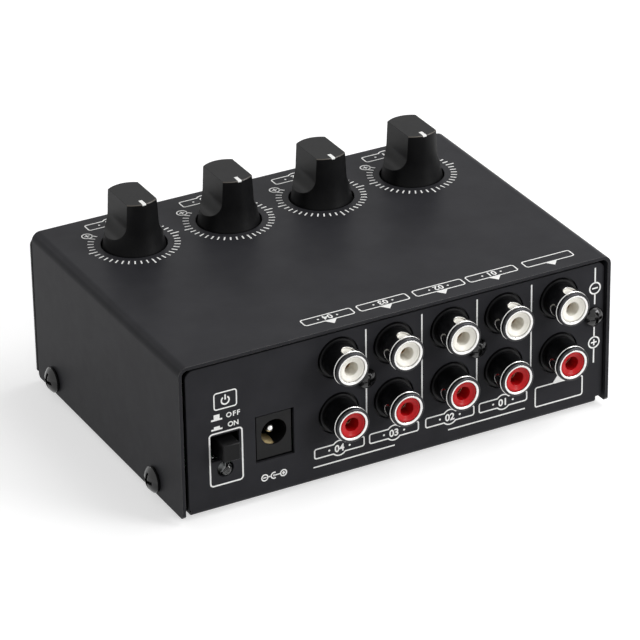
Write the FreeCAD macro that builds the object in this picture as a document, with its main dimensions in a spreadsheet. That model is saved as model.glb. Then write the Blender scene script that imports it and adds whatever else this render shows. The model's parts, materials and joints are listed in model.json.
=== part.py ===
import FreeCAD, Part
import math
import os
import re
import Sketcher

# Four-way stereo audio distribution amplifier in a folded steel case.
# Millimetres. +Z is up, the user's side is -Y and the connector side is +Y.
# The origin is under the middle of the whole object, on the surface it stands on.

# Driving dimensions, each written once
SIZES = {
    # Folded case: a U-shaped cover over a tray-shaped chassis
    "case_width": 110.0,
    "case_depth": 76.0,
    "case_height": 38.3,
    "sheet": 0.8,
    "cover_bend": 2.2,
    "cover_lift": 0.5,
    "cover_corner": 1.0,
    "side_gap": 0.2,
    "front_proud": 1.2,
    "rear_inset": 1.0,
    "panel_narrowing": 0.15,
    "panel_shortfall": 0.9,
    "panel_drop": 1.0,
    "panel_corner": 2.0,
    "fold_radius": 1.4,
    "relief": 1.8,
    "relief_length": 3.0,
    "flange_height": 10.0,
    "flange_setback": 4.0,
    # Feet
    "foot_height": 1.1,
    "foot_radius": 4.5,
    "foot_draft": 0.5,
    "foot_inset": 9.0,
    # Screws
    "cover_screw_radius": 1.45,
    "cover_screw_length": 6.0,
    "cover_screw_head": 3.1,
    "cover_screw_dome": 2.1,
    "cover_screw_setback": 11.5,
    "cover_screw_rise": 4.0,
    "cover_screw_shift": 2.6,
    "panel_screw_radius": 1.3,
    "panel_screw_length": 8.0,
    "panel_screw_head": 2.35,
    "panel_screw_dome": 1.7,
    "board_screw_radius": 1.45,
    "board_screw_length": 5.0,
    "board_screw_head": 2.6,
    "board_screw_dome": 1.6,
    "recess_width": 0.8,
    "recess_reach": 0.62,
    "recess_depth": 1.0,
    "hole_clearance": 0.15,
    "tapped_clearance": 0.03,
    # Main board and its standoffs
    "standoff_height": 7.1,
    "standoff_radius": 2.9,
    "standoff_shank": 2.1,
    "board_thickness": 1.6,
    "board_side_gap": 2.5,
    "board_front_gap": 4.0,
    "board_rear_gap": 4.5,
    "standoff_side": 6.0,
    "standoff_front": 6.0,
    "standoff_rear": 21.0,
    "lead_hole": 0.65,
    "lead_width": 0.8,
    "lead_below": 1.4,
    # Phono sockets
    "jack_pitch": 14.0,
    "block_gap": 0.5,
    "first_column": 15.2,
    "jack_rise": 6.6,
    "jack_reach": 6.8,
    "jack_seat": 5.0,
    "sleeve_radius": 4.15,
    "sleeve_wall": 0.4,
    "sleeve_step": 0.3,
    "sleeve_stand": 0.3,
    "lip_radius": 3.55,
    "lip_gap": 0.2,
    "lip_length": 0.5,
    "lip_round": 0.35,
    "notch_width": 3.0,
    "notch_start": 3.1,
    "notch_length": 3.0,
    "lance_cut": 0.3,
    "insert_gap": 0.05,
    "insert_set": 0.3,
    "socket_radius": 1.65,
    "socket_depth": 6.5,
    "contact_radius": 1.25,
    "contact_wall": 0.4,
    "contact_tail": 2.0,
    "collar_wall": 0.55,
    "collar_proud": 0.3,
    "collar_gap": 0.05,
    "collar_hole": 0.4,
    "block_margin": 6.8,
    "block_crown": 6.2,
    "block_depth": 12.0,
    "ear_reach": 9.45,
    "ear_radius": 2.0,
    "ear_length": 7.0,
    # DC inlet
    "inlet_x": 31.35,
    "inlet_width": 8.7,
    "inlet_height": 10.8,
    "inlet_length": 14.2,
    "inlet_rise": 6.1,
    "inlet_set": 0.5,
    "inlet_hole_gap": 0.45,
    "inlet_bore": 3.15,
    "inlet_bore_depth": 9.5,
    "inlet_pin": 1.0,
    "inlet_pin_set": 1.3,
    "inlet_pin_step": 0.2,
    "inlet_pin_stand": 0.15,
    "spring_width": 2.6,
    "spring_thickness": 0.3,
    "spring_length": 6.0,
    "spring_swell": 0.9,
    "spring_setback": 0.6,
    # Power switch and light
    "switch_x": 43.7,
    "switch_rise": 6.1,
    "switch_width": 8.4,
    "switch_height": 8.6,
    "switch_length": 12.0,
    "switch_setback": 6.5,
    "switch_legs": 1.5,
    "plunger_width": 3.0,
    "plunger_gap": 0.1,
    "plunger_back": 10.0,
    "button_width": 4.2,
    "button_length": 6.0,
    "button_reach": 3.4,
    "button_roof": 1.0,
    "button_fit": 0.02,
    "button_round": 0.35,
    "window_width": 7.0,
    "window_height": 6.4,
    "coil_radius": 1.15,
    "coil_wire": 0.2,
    "coil_turns": 7.0,
    "light_rise": 0.5,
    "light_radius": 1.5,
    "light_length": 5.3,
    "light_reach": 1.4,
    "light_flange": 1.9,
    "light_flange_length": 1.0,
    "light_hole": 2.0,
    "light_lead": 0.5,
    "light_lead_pitch": 2.54,
    "light_lead_run": 6.0,
    # Dials
    "knob_pitch": 24.4,
    "knob_setback": 16.5,
    "knob_hole": 7.75,
    "knob_sink": 1.2,
    "knob_height": 13.8,
    "knob_skirt": 7.45,
    "knob_band": 0.4,
    "knob_waist": 6.5,
    "knob_waist_height": 6.5,
    "knob_flare": 39.0,
    "knob_crown": 6.3,
    "knob_edge": 0.25,
    "grip_wall": 0.7,
    "grip_draft": 0.35,
    "scoop_radius": 5.0,
    "scoop_floor": 3.7,
    "bushing_recess_gap": 0.35,
    "shaft_fit": 0.02,
    "pointer_width": 0.9,
    "pointer_length": 2.2,
    "pointer_drop": 0.4,
    "pointer_depth": 0.3,
    # Potentiometers
    "pot_drop": 2.4,
    "pot_width": 9.8,
    "pot_depth": 11.6,
    "pot_height": 10.5,
    "pot_lid": 1.2,
    "pot_well": 4.3,
    "rotor_radius": 4.0,
    "rotor_thickness": 1.2,
    "rotor_gap": 0.25,
    "neck_radius": 2.25,
    "neck_clearance": 0.05,
    "bushing_radius": 3.5,
    "bushing_length": 5.0,
    "shaft_radius": 3.0,
    "shaft_start": 0.25,
    "shaft_length": 8.0,
    "shaft_flat": 1.5,
    "shaft_chamfer": 0.3,
    "pot_pin_pitch": 2.5,
    "pot_row_pitch": 5.0,
    # Control board
    "control_front": 9.0,
    "control_rear": 14.0,
    "control_overhang": 9.0,
    "pillar_inset": 3.0,
    "pillar_radius": 2.5,
    "peg_radius": 1.4,
    "peg_reach": 0.8,
    # Ribbon cable with its headers and sockets
    "ribbon_width": 10.2,
    "ribbon_thickness": 0.9,
    "ribbon_tail": 0.4,
    "ribbon_straight": 1.0,
    "ribbon_gap": 0.05,
    "ways": 4.0,
    "header_pitch": 2.54,
    "header_base": 2.5,
    "header_pin": 0.64,
    "header_pin_reach": 3.0,
    "header_setback": 10.2,
    "header_forward": 27.0,
    "plug_length": 11.4,
    "plug_depth": 6.0,
    "plug_height": 5.2,
    "plug_cap": 1.4,
    "pin_hole": 0.5,
    # Parts on the main board
    "filter_cap_radius": 4.0,
    "filter_cap_height": 11.5,
    "coupling_cap_radius": 2.5,
    "coupling_cap_height": 7.0,
    "cap_lead_pitch": 2.5,
    "cap_lead_radius": 0.3,
    "chip_length": 4.9,
    "chip_width": 3.9,
    "chip_height": 1.5,
    "chip_lift": 0.15,
    "chip_pin_width": 0.42,
    "chip_pin_pitch": 1.27,
    "chip_pin_reach": 1.05,
    "chip_pin_knee": 0.3,
    "chip_pin_thickness": 0.2,
    "regulator_width": 10.0,
    "regulator_thickness": 4.5,
    "regulator_height": 9.0,
    "regulator_tab": 1.3,
    "regulator_tab_height": 14.0,
    "regulator_stand": 0.4,
    "resistor_length": 2.0,
    "resistor_width": 1.25,
    "resistor_height": 0.55,
    "diode_length": 4.6,
    "diode_radius": 1.25,
}

# Places worked out from the sizes
PLACES = {
    "case_y": "(front_proud + rear_inset - jack_reach) / 2",
    "front_edge": "case_y - case_depth / 2",
    "rear_edge": "case_y + case_depth / 2",
    "rear_face": "rear_edge - rear_inset",
    "rear_inner": "rear_face - sheet",
    "front_face": "front_edge - front_proud",
    "side_face": "case_width / 2",
    "side_inner": "side_face - sheet",
    "base": "foot_height",
    "floor_top": "base + sheet",
    "cover_bottom": "base + cover_lift",
    "cover_top": "base + case_height",
    "ceiling": "cover_top - sheet",
    "panel_top": "ceiling - panel_drop",
    "floor_side": "side_inner - side_gap",
    "panel_side": "floor_side - panel_narrowing",
    "panel_end": "panel_side - panel_shortfall",
    "screw_z": "base + cover_screw_rise",
    "screw_front": "front_edge + cover_screw_setback - cover_screw_shift",
    "screw_rear": "rear_edge - cover_screw_setback - cover_screw_shift",
    "board_under": "floor_top + standoff_height",
    "board_top": "board_under + board_thickness",
    "board_side": "floor_side - sheet - board_side_gap",
    "board_front": "front_face + sheet + board_front_gap",
    "board_rear": "rear_inner - board_rear_gap",
    "standoff_x": "board_side - standoff_side",
    "standoff_fore": "board_front + standoff_front",
    "standoff_aft": "rear_inner - standoff_rear",
    "jack_low": "board_top + jack_rise",
    "jack_high": "jack_low + jack_pitch",
    "screw_row": "jack_low + jack_pitch / 2",
    "collar_radius": "sleeve_radius + collar_gap + collar_wall",
    "tail_radius": "sleeve_radius - sleeve_step",
    "shoulder": "collar_proud + sleeve_stand",
    "block_back": "rear_inner - block_depth",
    "block_top": "jack_high + block_crown",
    "inlet_z": "board_top + inlet_rise",
    "inlet_front": "rear_face - inlet_set",
    "switch_z": "board_top + switch_rise",
    "switch_front": "rear_face - switch_setback",
    "switch_base": "board_top + switch_legs",
    "light_z": "board_top + light_rise",
    "light_tip": "rear_face + light_reach",
    "knob_y": "front_edge + knob_setback",
    "knob_base": "cover_top - knob_sink",
    "pot_top": "ceiling - pot_drop",
    "pot_under": "pot_top - pot_height",
    "control_under": "pot_under - board_thickness",
    "control_side": "1.5 * knob_pitch + control_overhang",
    "bushing_top": "pot_top + bushing_length",
    "grip": "shaft_radius + grip_wall",
    "upper_header_y": "knob_y + header_setback",
    "lower_header_y": "rear_inner - header_forward",
    "upper_plug": "control_under - header_base",
    "lower_plug": "board_top + header_base",
    "upper_ribbon": "upper_plug - plug_height",
    "lower_ribbon": "lower_plug + plug_height",
    "ribbon_high": "upper_ribbon + plug_cap",
    "ribbon_low": "lower_ribbon - plug_cap",
    "ribbon_start": "upper_header_y + plug_depth / 2 + ribbon_straight",
    "ribbon_end": "lower_header_y - plug_depth / 2 - ribbon_straight",
    "ribbon_run": "ribbon_end - ribbon_start",
    "ribbon_fall": "ribbon_high - ribbon_low",
    "ribbon_square": "ribbon_run ^ 2 + ribbon_fall ^ 2",
    "ribbon_curve": "ribbon_square / (4 * ribbon_fall)",
    "ribbon_sine": "2 * ribbon_run * ribbon_fall / ribbon_square",
    "ribbon_cosine": "(ribbon_run ^ 2 - ribbon_fall ^ 2) / ribbon_square",
    "switch_floor": "switch_front - switch_length + sheet",
    "coil_length": "rear_face - plunger_back - switch_floor - 2 * coil_wire",
    "chip_y": "lower_header_y - 11",
}

# The phono columns in the order of the panel, from the outputs to the input
COLUMNS = [
    "first_column",
    "first_column - jack_pitch",
    "first_column - 2 * jack_pitch - block_gap",
    "first_column - 3 * jack_pitch - block_gap",
    "first_column - 4 * jack_pitch - 2 * block_gap",
]
KNOBS = ["-1.5 * knob_pitch", "-0.5 * knob_pitch", "0.5 * knob_pitch", "1.5 * knob_pitch"]
SCREWS = [
    f"({COLUMNS[0]} + {COLUMNS[1]}) / 2",
    f"({COLUMNS[2]} + {COLUMNS[3]}) / 2",
    f"{COLUMNS[4]} - ear_reach",
]

X_AXIS = FreeCAD.Vector(1, 0, 0)
Y_AXIS = FreeCAD.Vector(0, 1, 0)
Z_AXIS = FreeCAD.Vector(0, 0, 1)
UPRIGHT = FreeCAD.Rotation()
TO_REAR = FreeCAD.Rotation(X_AXIS, -90)
TO_RIGHT = FreeCAD.Rotation(Y_AXIS, 90)
TO_LEFT = FreeCAD.Rotation(Y_AXIS, -90)

doc = FreeCAD.newDocument("amplifier")


def make_sheet(name, cells):
    sheet = doc.addObject("Spreadsheet::Sheet", name)
    for row, (alias, content) in enumerate(cells.items(), 1):
        sheet.set(f"A{row}", alias)
        sheet.set(f"B{row}", content)
        sheet.setAlias(f"B{row}", alias)
    return sheet


def full(text):
    """The expression with every size and place given its sheet's name."""
    def named(match):
        word = match.group(0)
        if word in SIZES:
            return "Sizes." + word
        if word in PLACES:
            return "Places." + word
        return word
    return re.sub(r"[A-Za-z_][A-Za-z_0-9]*", named, str(text))


sizes = make_sheet("Sizes", {name: str(value) for name, value in SIZES.items()})
doc.recompute()
make_sheet("Places", {name: "=" + full(text) for name, text in PLACES.items()})
doc.recompute()


def number(text):
    return float(sizes.evalExpression(full(text)))


# Whole pieces

def put(piece, x, y, z, turn=UPRIGHT):
    piece.Placement = FreeCAD.Placement(FreeCAD.Vector(), turn)
    for letter, text in zip("xyz", (x, y, z)):
        piece.setExpression("Placement.Base." + letter, full(text))
    return piece


def box(name, length, width, height, x, y, z, turn=UPRIGHT):
    """A block from its lowest corner."""
    piece = doc.addObject("Part::Box", name)
    for side, text in (("Length", length), ("Width", width), ("Height", height)):
        piece.setExpression(side, full(text))
    return put(piece, x, y, z, turn)


def block(name, length, width, height, x, y, z):
    """A block centred on x and y, standing on z."""
    return box(name, length, width, height, f"({x}) - ({length}) / 2", f"({y}) - ({width}) / 2", z)


def rod(name, radius, height, x, y, z, turn=UPRIGHT):
    piece = doc.addObject("Part::Cylinder", name)
    piece.setExpression("Radius", full(radius))
    piece.setExpression("Height", full(height))
    return put(piece, x, y, z, turn)


def group(name, pieces):
    piece = doc.addObject("Part::Compound", name)
    piece.Links = pieces
    return piece


def fuse(name, pieces):
    piece = doc.addObject("Part::MultiFuse", name)
    piece.Shapes = pieces
    return piece


def cut(name, base, tools):
    piece = doc.addObject("Part::Cut", name)
    piece.Base = base
    piece.Tool = tools[0] if len(tools) == 1 else fuse(name + "_tools", tools)
    return piece


def copies(name, pattern, places):
    """The same piece at several places, each x, y, z and an optional turn."""
    links = []
    for place in places:
        link = doc.addObject("App::Link", name + "_copy")
        link.LinkedObject = pattern
        link.LinkTransform = True
        links.append(put(link, *place))
    return group(name, links)


# Sketched pieces

def new_body(name):
    return doc.addObject("PartDesign::Body", name)


def rectangle(x_low, x_high, y_low, y_high):
    return [(x_low, y_low), (x_high, y_low), (x_high, y_high), (x_low, y_high)]


def circle(x, y, radius):
    return ("circle", x, y, radius)


def edge_between(start, end, radius=None, turn=None):
    """A straight or round edge, and which of its ends comes first."""
    first = FreeCAD.Vector(*start, 0)
    last = FreeCAD.Vector(*end, 0)
    if radius is None:
        return Part.LineSegment(first, last), 1, 2
    half = (last - first) * 0.5
    across = FreeCAD.Vector(-half.y, half.x, 0).normalize()
    side = 1 if turn == "left" else -1
    centre = first + half + across * side * math.sqrt(max(radius ** 2 - half.Length ** 2, 0))
    from_angle, to_angle = [math.atan2(point.y - centre.y, point.x - centre.x) for point in (first, last)]
    ring = Part.Circle(centre, Z_AXIS, radius)
    if turn == "left":
        return Part.ArcOfCircle(ring, from_angle, to_angle), 1, 2
    return Part.ArcOfCircle(ring, to_angle, from_angle), 2, 1


def hold(sketch, kind, *ends, text):
    index = sketch.addConstraint(Sketcher.Constraint(kind, *ends, number(text)))
    if re.search("[a-z]", text):
        sketch.setExpression(f"Constraints[{index}]", full(text))


def draw_loop(sketch, corners):
    """Corners are x, y; one that starts an arc adds its radius and the way it turns."""
    spots = [(number(corner[0]), number(corner[1])) for corner in corners]
    edges = []
    for corner, start, end in zip(corners, spots, spots[1:] + spots[:1]):
        arc = (number(corner[2]), corner[3]) if len(corner) == 4 else ()
        shape, first, last = edge_between(start, end, *arc)
        edges.append((sketch.addGeometry(shape), first, last))
    for (edge, first, last), (after, joined, _) in zip(edges, edges[1:] + edges[:1]):
        sketch.addConstraint(Sketcher.Constraint("Coincident", edge, last, after, joined))
    for corner, (edge, first, _) in zip(corners, edges):
        hold(sketch, "DistanceX", -1, 1, edge, first, text=corner[0])
        hold(sketch, "DistanceY", -1, 1, edge, first, text=corner[1])
        if len(corner) == 4:
            hold(sketch, "Radius", edge, text=corner[2])


def draw_circle(sketch, x, y, radius):
    ring = Part.Circle(FreeCAD.Vector(number(x), number(y), 0), Z_AXIS, number(radius))
    edge = sketch.addGeometry(ring)
    hold(sketch, "DistanceX", -1, 1, edge, 3, text=x)
    hold(sketch, "DistanceY", -1, 1, edge, 3, text=y)
    hold(sketch, "Radius", edge, text=radius)


def new_sketch(body, plane, shapes, offset="0"):
    """A sketch on one of the body's own planes, moved along that plane's normal."""
    sketch = body.newObject("Sketcher::SketchObject", body.Name + "_sketch")
    origin_plane = next(item for item in body.Origin.OriginFeatures if item.Role == plane + "_Plane")
    sketch.AttachmentSupport = [(origin_plane, "")]
    sketch.MapMode = "FlatFace"
    sketch.setExpression("AttachmentOffset.Base.z", full(offset))
    for shape in shapes:
        if shape[0] == "circle":
            draw_circle(sketch, *shape[1:])
        else:
            draw_loop(sketch, shape)
    return sketch


def pad(body, plane, shapes, length, offset="0"):
    feature = body.newObject("PartDesign::Pad", body.Name + "_pad")
    feature.Profile = new_sketch(body, plane, shapes, offset)
    feature.setExpression("Length", full(length))
    doc.recompute()
    return feature


def pocket(body, plane, shapes, depth=None, offset="0", reverse=False):
    """Cuts to a depth, or both ways through everything. It has to take material away."""
    before = body.Shape.Volume
    feature = body.newObject("PartDesign::Pocket", body.Name + "_pocket")
    feature.Profile = new_sketch(body, plane, shapes, offset)
    feature.Reversed = reverse
    if depth is None:
        feature.Type = "ThroughAll"
        feature.SideType = "Symmetric"
    else:
        feature.setExpression("Length", full(depth))
    doc.recompute()
    if body.Shape.Volume >= before:
        raise ValueError(f"{body.Name}: a cut removes nothing")
    return feature


def revolve(body, corners):
    """Turns a half outline in X and Z about the body's own Z axis."""
    feature = body.newObject("PartDesign::Revolution", body.Name + "_turn")
    sketch = new_sketch(body, "XZ", [corners])
    feature.Profile = sketch
    feature.ReferenceAxis = (sketch, ["V_Axis"])
    feature.Angle = 360
    doc.recompute()
    return feature


def round_edges(body, radius, wanted):
    """Rounds every edge whose middle and direction the test accepts."""
    base = body.Tip
    names = []
    for index, edge in enumerate(base.Shape.Edges, 1):
        middle = edge.valueAt((edge.FirstParameter + edge.LastParameter) / 2)
        run = edge.Vertexes[-1].Point - edge.Vertexes[0].Point
        if run.Length > 0 and wanted(middle, run.normalize(), edge):
            names.append(f"Edge{index}")
    if not names:
        raise ValueError(f"{body.Name}: no edge to round")
    feature = body.newObject("PartDesign::Fillet", body.Name + "_round")
    feature.Base = (base, names)
    feature.setExpression("Radius", full(radius))
    doc.recompute()
    return feature


def near(value, text):
    return abs(value - number(text)) < 0.01


def along(run, axis):
    return abs(abs(run.dot(axis)) - 1) < 1e-6


# Case

def make_cover():
    body = new_body("cover")
    outer = rectangle("-side_face", "side_face", "cover_bottom", "cover_top")
    pad(body, "XZ", [outer], "case_depth", "-rear_edge")
    round_edges(body, "cover_bend", lambda at, run, _: along(run, Y_AXIS) and near(at.z, "cover_top"))
    inner = rectangle("-side_inner", "side_inner", "cover_bottom - sheet", "ceiling")
    pocket(body, "XZ", [inner])
    round_edges(body, "cover_bend - sheet", lambda at, run, _: along(run, Y_AXIS) and near(at.z, "ceiling"))
    holes = [circle(x, "knob_y", "knob_hole") for x in KNOBS]
    pocket(body, "XY", holes)
    screw_hole = "cover_screw_radius + hole_clearance"
    pocket(body, "YZ", [circle(y, "screw_z", screw_hole) for y in ("screw_front", "screw_rear")])
    round_edges(body, "cover_corner", lambda at, run, _: along(run, X_AXIS) and near(at.z, "cover_bottom"))


def make_chassis():
    body = new_body("chassis")
    floor = rectangle("-floor_side", "floor_side", "front_face", "rear_face")
    pad(body, "XY", [floor], "sheet", "base")
    panels = [
        rectangle("-panel_side", "panel_end", "rear_inner", "rear_face"),
        rectangle("-side_face", "side_face", "front_face", "front_face + sheet"),
    ]
    pad(body, "XY", panels, "panel_top - base", "base")
    flange_ends = ("front_face + flange_setback", "rear_face - flange_setback")
    flanges = [
        rectangle("floor_side - sheet", "floor_side", *flange_ends),
        rectangle("-floor_side", "sheet - floor_side", *flange_ends),
    ]
    pad(body, "XY", flanges, "flange_height", "base")
    reliefs = []
    for x_low, x_high in (("floor_side - relief", "side_face"), ("-side_face", "relief - floor_side")):
        reliefs.append(rectangle(x_low, x_high, "rear_face - relief_length", "rear_edge"))
        reliefs.append(rectangle(x_low, x_high, "front_face - sheet", "front_face + relief_length"))
    pocket(body, "XY", reliefs, "relief + sheet", "base + relief")
    in_folds = lambda y: near(y, "rear_face") or near(y, "front_face")
    at_ends = lambda x: near(abs(x), "side_face") or near(x, "-panel_side") or near(x, "panel_end")
    round_edges(
        body, "fold_radius",
        lambda at, run, edge: along(run, X_AXIS) and near(at.z, "base") and in_folds(at.y))
    round_edges(
        body, "fold_radius",
        lambda at, run, edge: along(run, Y_AXIS) and near(at.z, "base") and near(abs(at.x), "floor_side"))
    round_edges(
        body, "panel_corner",
        lambda at, run, edge: along(run, Y_AXIS) and near(at.z, "panel_top") and at_ends(at.x))
    cut_rear_holes(body)
    tapped = "cover_screw_radius + tapped_clearance"
    pocket(body, "YZ", [circle(y, "screw_z", tapped) for y in ("screw_front", "screw_rear")])
    seats = [circle(x, y, "standoff_shank + tapped_clearance") for x, y in standoff_places()]
    pocket(body, "XY", seats, "3 * sheet", "floor_top + sheet")


def cut_rear_holes(body):
    """The windows in the rear panel. Across an XZ sketch, x and z are the panel's own."""
    holes = []
    for x in COLUMNS:
        for z in ("jack_low", "jack_high"):
            holes.append(circle(x, z, "collar_radius + collar_hole"))
    for x in SCREWS:
        holes.append(circle(x, "screw_row", "panel_screw_radius + hole_clearance"))
    holes.append(circle("switch_x", "light_z", "light_hole"))
    holes.append(rectangle(
        "inlet_x - inlet_width / 2 - inlet_hole_gap", "inlet_x + inlet_width / 2 + inlet_hole_gap",
        "board_top - inlet_hole_gap", "board_top + inlet_height + inlet_hole_gap"))
    holes.append(rectangle(
        "switch_x - window_width / 2", "switch_x + window_width / 2",
        "switch_z - window_height / 2", "switch_z + window_height / 2"))
    pocket(body, "XZ", holes, "3 * sheet", "-(rear_inner - sheet)")


def make_feet():
    foot = doc.addObject("Part::Cone", "foot_pattern")
    foot.setExpression("Radius1", full("foot_radius - foot_draft"))
    foot.setExpression("Radius2", full("foot_radius"))
    foot.setExpression("Height", full("foot_height"))
    x = "side_face - foot_inset"
    rows = ("front_edge + foot_inset", "rear_edge - foot_inset")
    copies("rubber_feet", foot, [(f"{sign}({x})", y, "0") for sign in ("", "-") for y in rows])


# Screws

def cross(reach, half):
    """Outline of the recess in a screw head."""
    quarter = [(half, f"-{reach}"), (half, f"-{half}"), (reach, f"-{half}")]
    quarter += [(reach, half), (half, half), (half, reach)]
    return quarter + [(f"-({x})", f"-({y})") for x, y in quarter]


def screw_pattern(name, size):
    """A pan-head screw: its head's underside at zero, its head up."""
    radius, length, head, dome = [f"{size}_{part}" for part in ("radius", "length", "head", "dome")]
    rim = f"{dome} * 0.35"
    rise = f"({dome} * 0.65)"
    body = new_body(name)
    revolve(body, [
        ("0", f"-{length}"),
        (f"{radius} * 0.6", f"-{length}"),
        (radius, f"{radius} - {length}"),
        (radius, "0"),
        (head, "0"),
        (head, rim, f"({head} ^ 2 + {rise} ^ 2) / (2 * {rise})", "left"),
        ("0", dome),
    ])
    recess = cross(f"({head} * recess_reach)", "(recess_width / 2)")
    pocket(body, "XY", [recess], "recess_depth", dome)
    return body


def make_screws():
    places = []
    for y in ("screw_front", "screw_rear"):
        places.append(("side_face", y, "screw_z", TO_RIGHT))
        places.append(("-side_face", y, "screw_z", TO_LEFT))
    copies("cover_screws", screw_pattern("cover_screw_pattern", "cover_screw"), places)
    places = [(x, "rear_face", "screw_row", TO_REAR) for x in SCREWS]
    copies("panel_screws", screw_pattern("panel_screw_pattern", "panel_screw"), places)
    places = [(x, y, "board_top") for x, y in standoff_places()]
    copies("board_screws", screw_pattern("board_screw_pattern", "board_screw"), places)


# Boards and what holds them

def standoff_places():
    return [(x, y) for x in ("-standoff_x", "standoff_x") for y in ("standoff_fore", "standoff_aft")]


def make_standoffs():
    """Hexagonal pillars whose shanks are pressed into the floor."""
    post = doc.addObject("Part::Prism", "standoff_post")
    post.Polygon = 6
    post.setExpression("Circumradius", full("standoff_radius"))
    post.setExpression("Height", full("standoff_height"))
    shank = rod("standoff_stub", "standoff_shank", "sheet", "0", "0", "-sheet")
    bore = rod("standoff_bore", "board_screw_radius + tapped_clearance", "standoff_height + 2 * sheet",
               "0", "0", "-1.5 * sheet")
    pattern = cut("standoff_pattern", fuse("standoff_blank", [post, shank]), [bore])
    copies("board_standoffs", pattern, [(x, y, "floor_top") for x, y in standoff_places()])


def jack_pins():
    """Two signal leads and one earth lead under each column of sockets."""
    return [(x, f"block_back + {back}") for x in COLUMNS for back in (1.5, 3.5, 5.5)]


def inlet_pins():
    back = "inlet_front - inlet_length"
    return [("inlet_x", f"{back} + 1.2"), ("inlet_x", f"{back} + 6"), ("inlet_x - 3.2", f"{back} + 3.6")]


def switch_pins():
    back = "switch_front - switch_length"
    return [(f"switch_x + {side}", f"{back} + {row}") for side in (-2.5, 2.5) for row in (1.5, 3.5, 5.5)]


def light_pins():
    back = "light_tip - light_length - light_lead_run"
    return [(f"switch_x + {side} * light_lead_pitch / 2", back) for side in (-1, 1)]


def header_places(y):
    """Pin places of a two-row header."""
    places = []
    for row in (-0.5, 0.5):
        for way in range(int(SIZES["ways"])):
            places.append((f"({way} - (ways - 1) / 2) * header_pitch", f"{y} + {row} * header_pitch"))
    return places


def filter_cap_places():
    return [(f"inlet_x + {side}", "board_front + 14") for side in (2, -9)]


def coupling_cap_places():
    return [(f"{x} + {side} * 3", "block_back - 6") for x in COLUMNS[:4] for side in (-1, 1)]


def capacitor_pins():
    places = filter_cap_places() + coupling_cap_places()
    return [(f"{x} + {side} * cap_lead_pitch / 2", y) for x, y in places for side in (-1, 1)]


def regulator_pins():
    x, y = regulator_place()
    return [(f"{x} + {side} * header_pitch", y) for side in (-1, 0, 1)]


def regulator_place():
    return "inlet_x + 6", "board_front + 28"


def pillar_places():
    """Halfway between the outer dials, near both long edges of the control board."""
    rows = ("knob_y - control_front + pillar_inset", "knob_y + control_rear - pillar_inset")
    return [(x, y) for x in ("-knob_pitch", "knob_pitch") for y in rows]


def make_pillars():
    """Round spacers between the two boards, with a peg through each."""
    body = new_body("pillar_pattern")
    height = "(control_under - board_top)"
    reach = "(board_thickness + peg_reach)"
    revolve(body, [
        ("0", f"-{reach}"),
        ("peg_radius", f"-{reach}"),
        ("peg_radius", "0"),
        ("pillar_radius", "0"),
        ("pillar_radius", height),
        ("peg_radius", height),
        ("peg_radius", f"{height} + {reach}"),
        ("0", f"{height} + {reach}"),
    ])
    copies("control_pillars", body, [(x, y, "board_top") for x, y in pillar_places()])


def peg_holes():
    return [circle(x, y, "peg_radius + tapped_clearance") for x, y in pillar_places()]


def make_main_board():
    body = new_body("main_board")
    outline = rectangle("-board_side", "board_side", "board_front", "board_rear")
    pad(body, "XY", [outline], "board_thickness", "board_under")
    places = jack_pins() + inlet_pins() + switch_pins() + light_pins()
    places += header_places("lower_header_y") + capacitor_pins() + regulator_pins()
    pocket(body, "XY", [circle(x, y, "lead_hole") for x, y in places])
    screw_hole = "board_screw_radius + hole_clearance"
    pocket(body, "XY", [circle(x, y, screw_hole) for x, y in standoff_places()])
    pocket(body, "XY", peg_holes())


def pot_pins(x):
    """Three pins for each of the two tracks."""
    places = []
    for row in (-0.5, 0.5):
        for pin in (-1, 0, 1):
            places.append((f"{x} + {pin} * pot_pin_pitch", f"knob_y + {row} * pot_row_pitch"))
    return places


def make_control_board():
    body = new_body("control_board")
    outline = rectangle("-control_side", "control_side", "knob_y - control_front", "knob_y + control_rear")
    pad(body, "XY", [outline], "board_thickness", "control_under")
    holes = header_places("upper_header_y")
    for x in KNOBS:
        holes += pot_pins(x)
    pocket(body, "XY", [circle(x, y, "lead_hole") for x, y in holes])
    pocket(body, "XY", peg_holes())


def pins(name, places, low, high, width="lead_width"):
    """Square pins from one height to another."""
    return group(name, [
        block(name + "_pin", width, width, f"({high}) - ({low})", x, y, low) for x, y in places])


# Phono sockets

def make_jack_block(name, columns):
    """Moulded housing with a collar round each sleeve. The single one has an ear for its screw."""
    left = f"({columns[-1]} - block_margin)"
    right = f"({columns[0]} + block_margin)"
    parts = [box(name + "_body", f"{right} - {left}", "block_depth", "block_top - board_top",
                 left, "block_back", "board_top")]
    holes = []
    screw_x = f"{columns[0]} - ear_reach" if len(columns) == 1 else f"({columns[0]} + {columns[1]}) / 2"
    if len(columns) == 1:
        parts.append(rod(name + "_ear", "ear_radius", "ear_length",
                         screw_x, "rear_inner - ear_length", "screw_row", TO_REAR))
        parts.append(box(name + "_web", "ear_reach - block_margin + sheet", "ear_length", "2 * ear_radius",
                         screw_x, "rear_inner - ear_length", "screw_row - ear_radius"))
    for x in columns:
        for z in ("jack_low", "jack_high"):
            parts.append(rod(name + "_collar", "collar_radius", "2 * sheet + collar_proud",
                             x, "rear_inner - sheet", z, TO_REAR))
            holes.append(rod(name + "_bore", "tail_radius + collar_gap", "jack_seat + 2 * sheet + collar_proud",
                             x, "rear_inner - jack_seat", z, TO_REAR))
            holes.append(rod(name + "_tail", "contact_radius + collar_gap", "contact_tail + 2 * sheet",
                             x, "rear_inner - jack_seat - contact_tail - sheet", z, TO_REAR))
    holes.append(rod(name + "_pilot", "panel_screw_radius + tapped_clearance", "panel_screw_length + sheet",
                     screw_x, "rear_face - panel_screw_length - 0.5 * sheet", "screw_row", TO_REAR))
    cut(name, fuse(name + "_blank", parts), holes)


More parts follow.
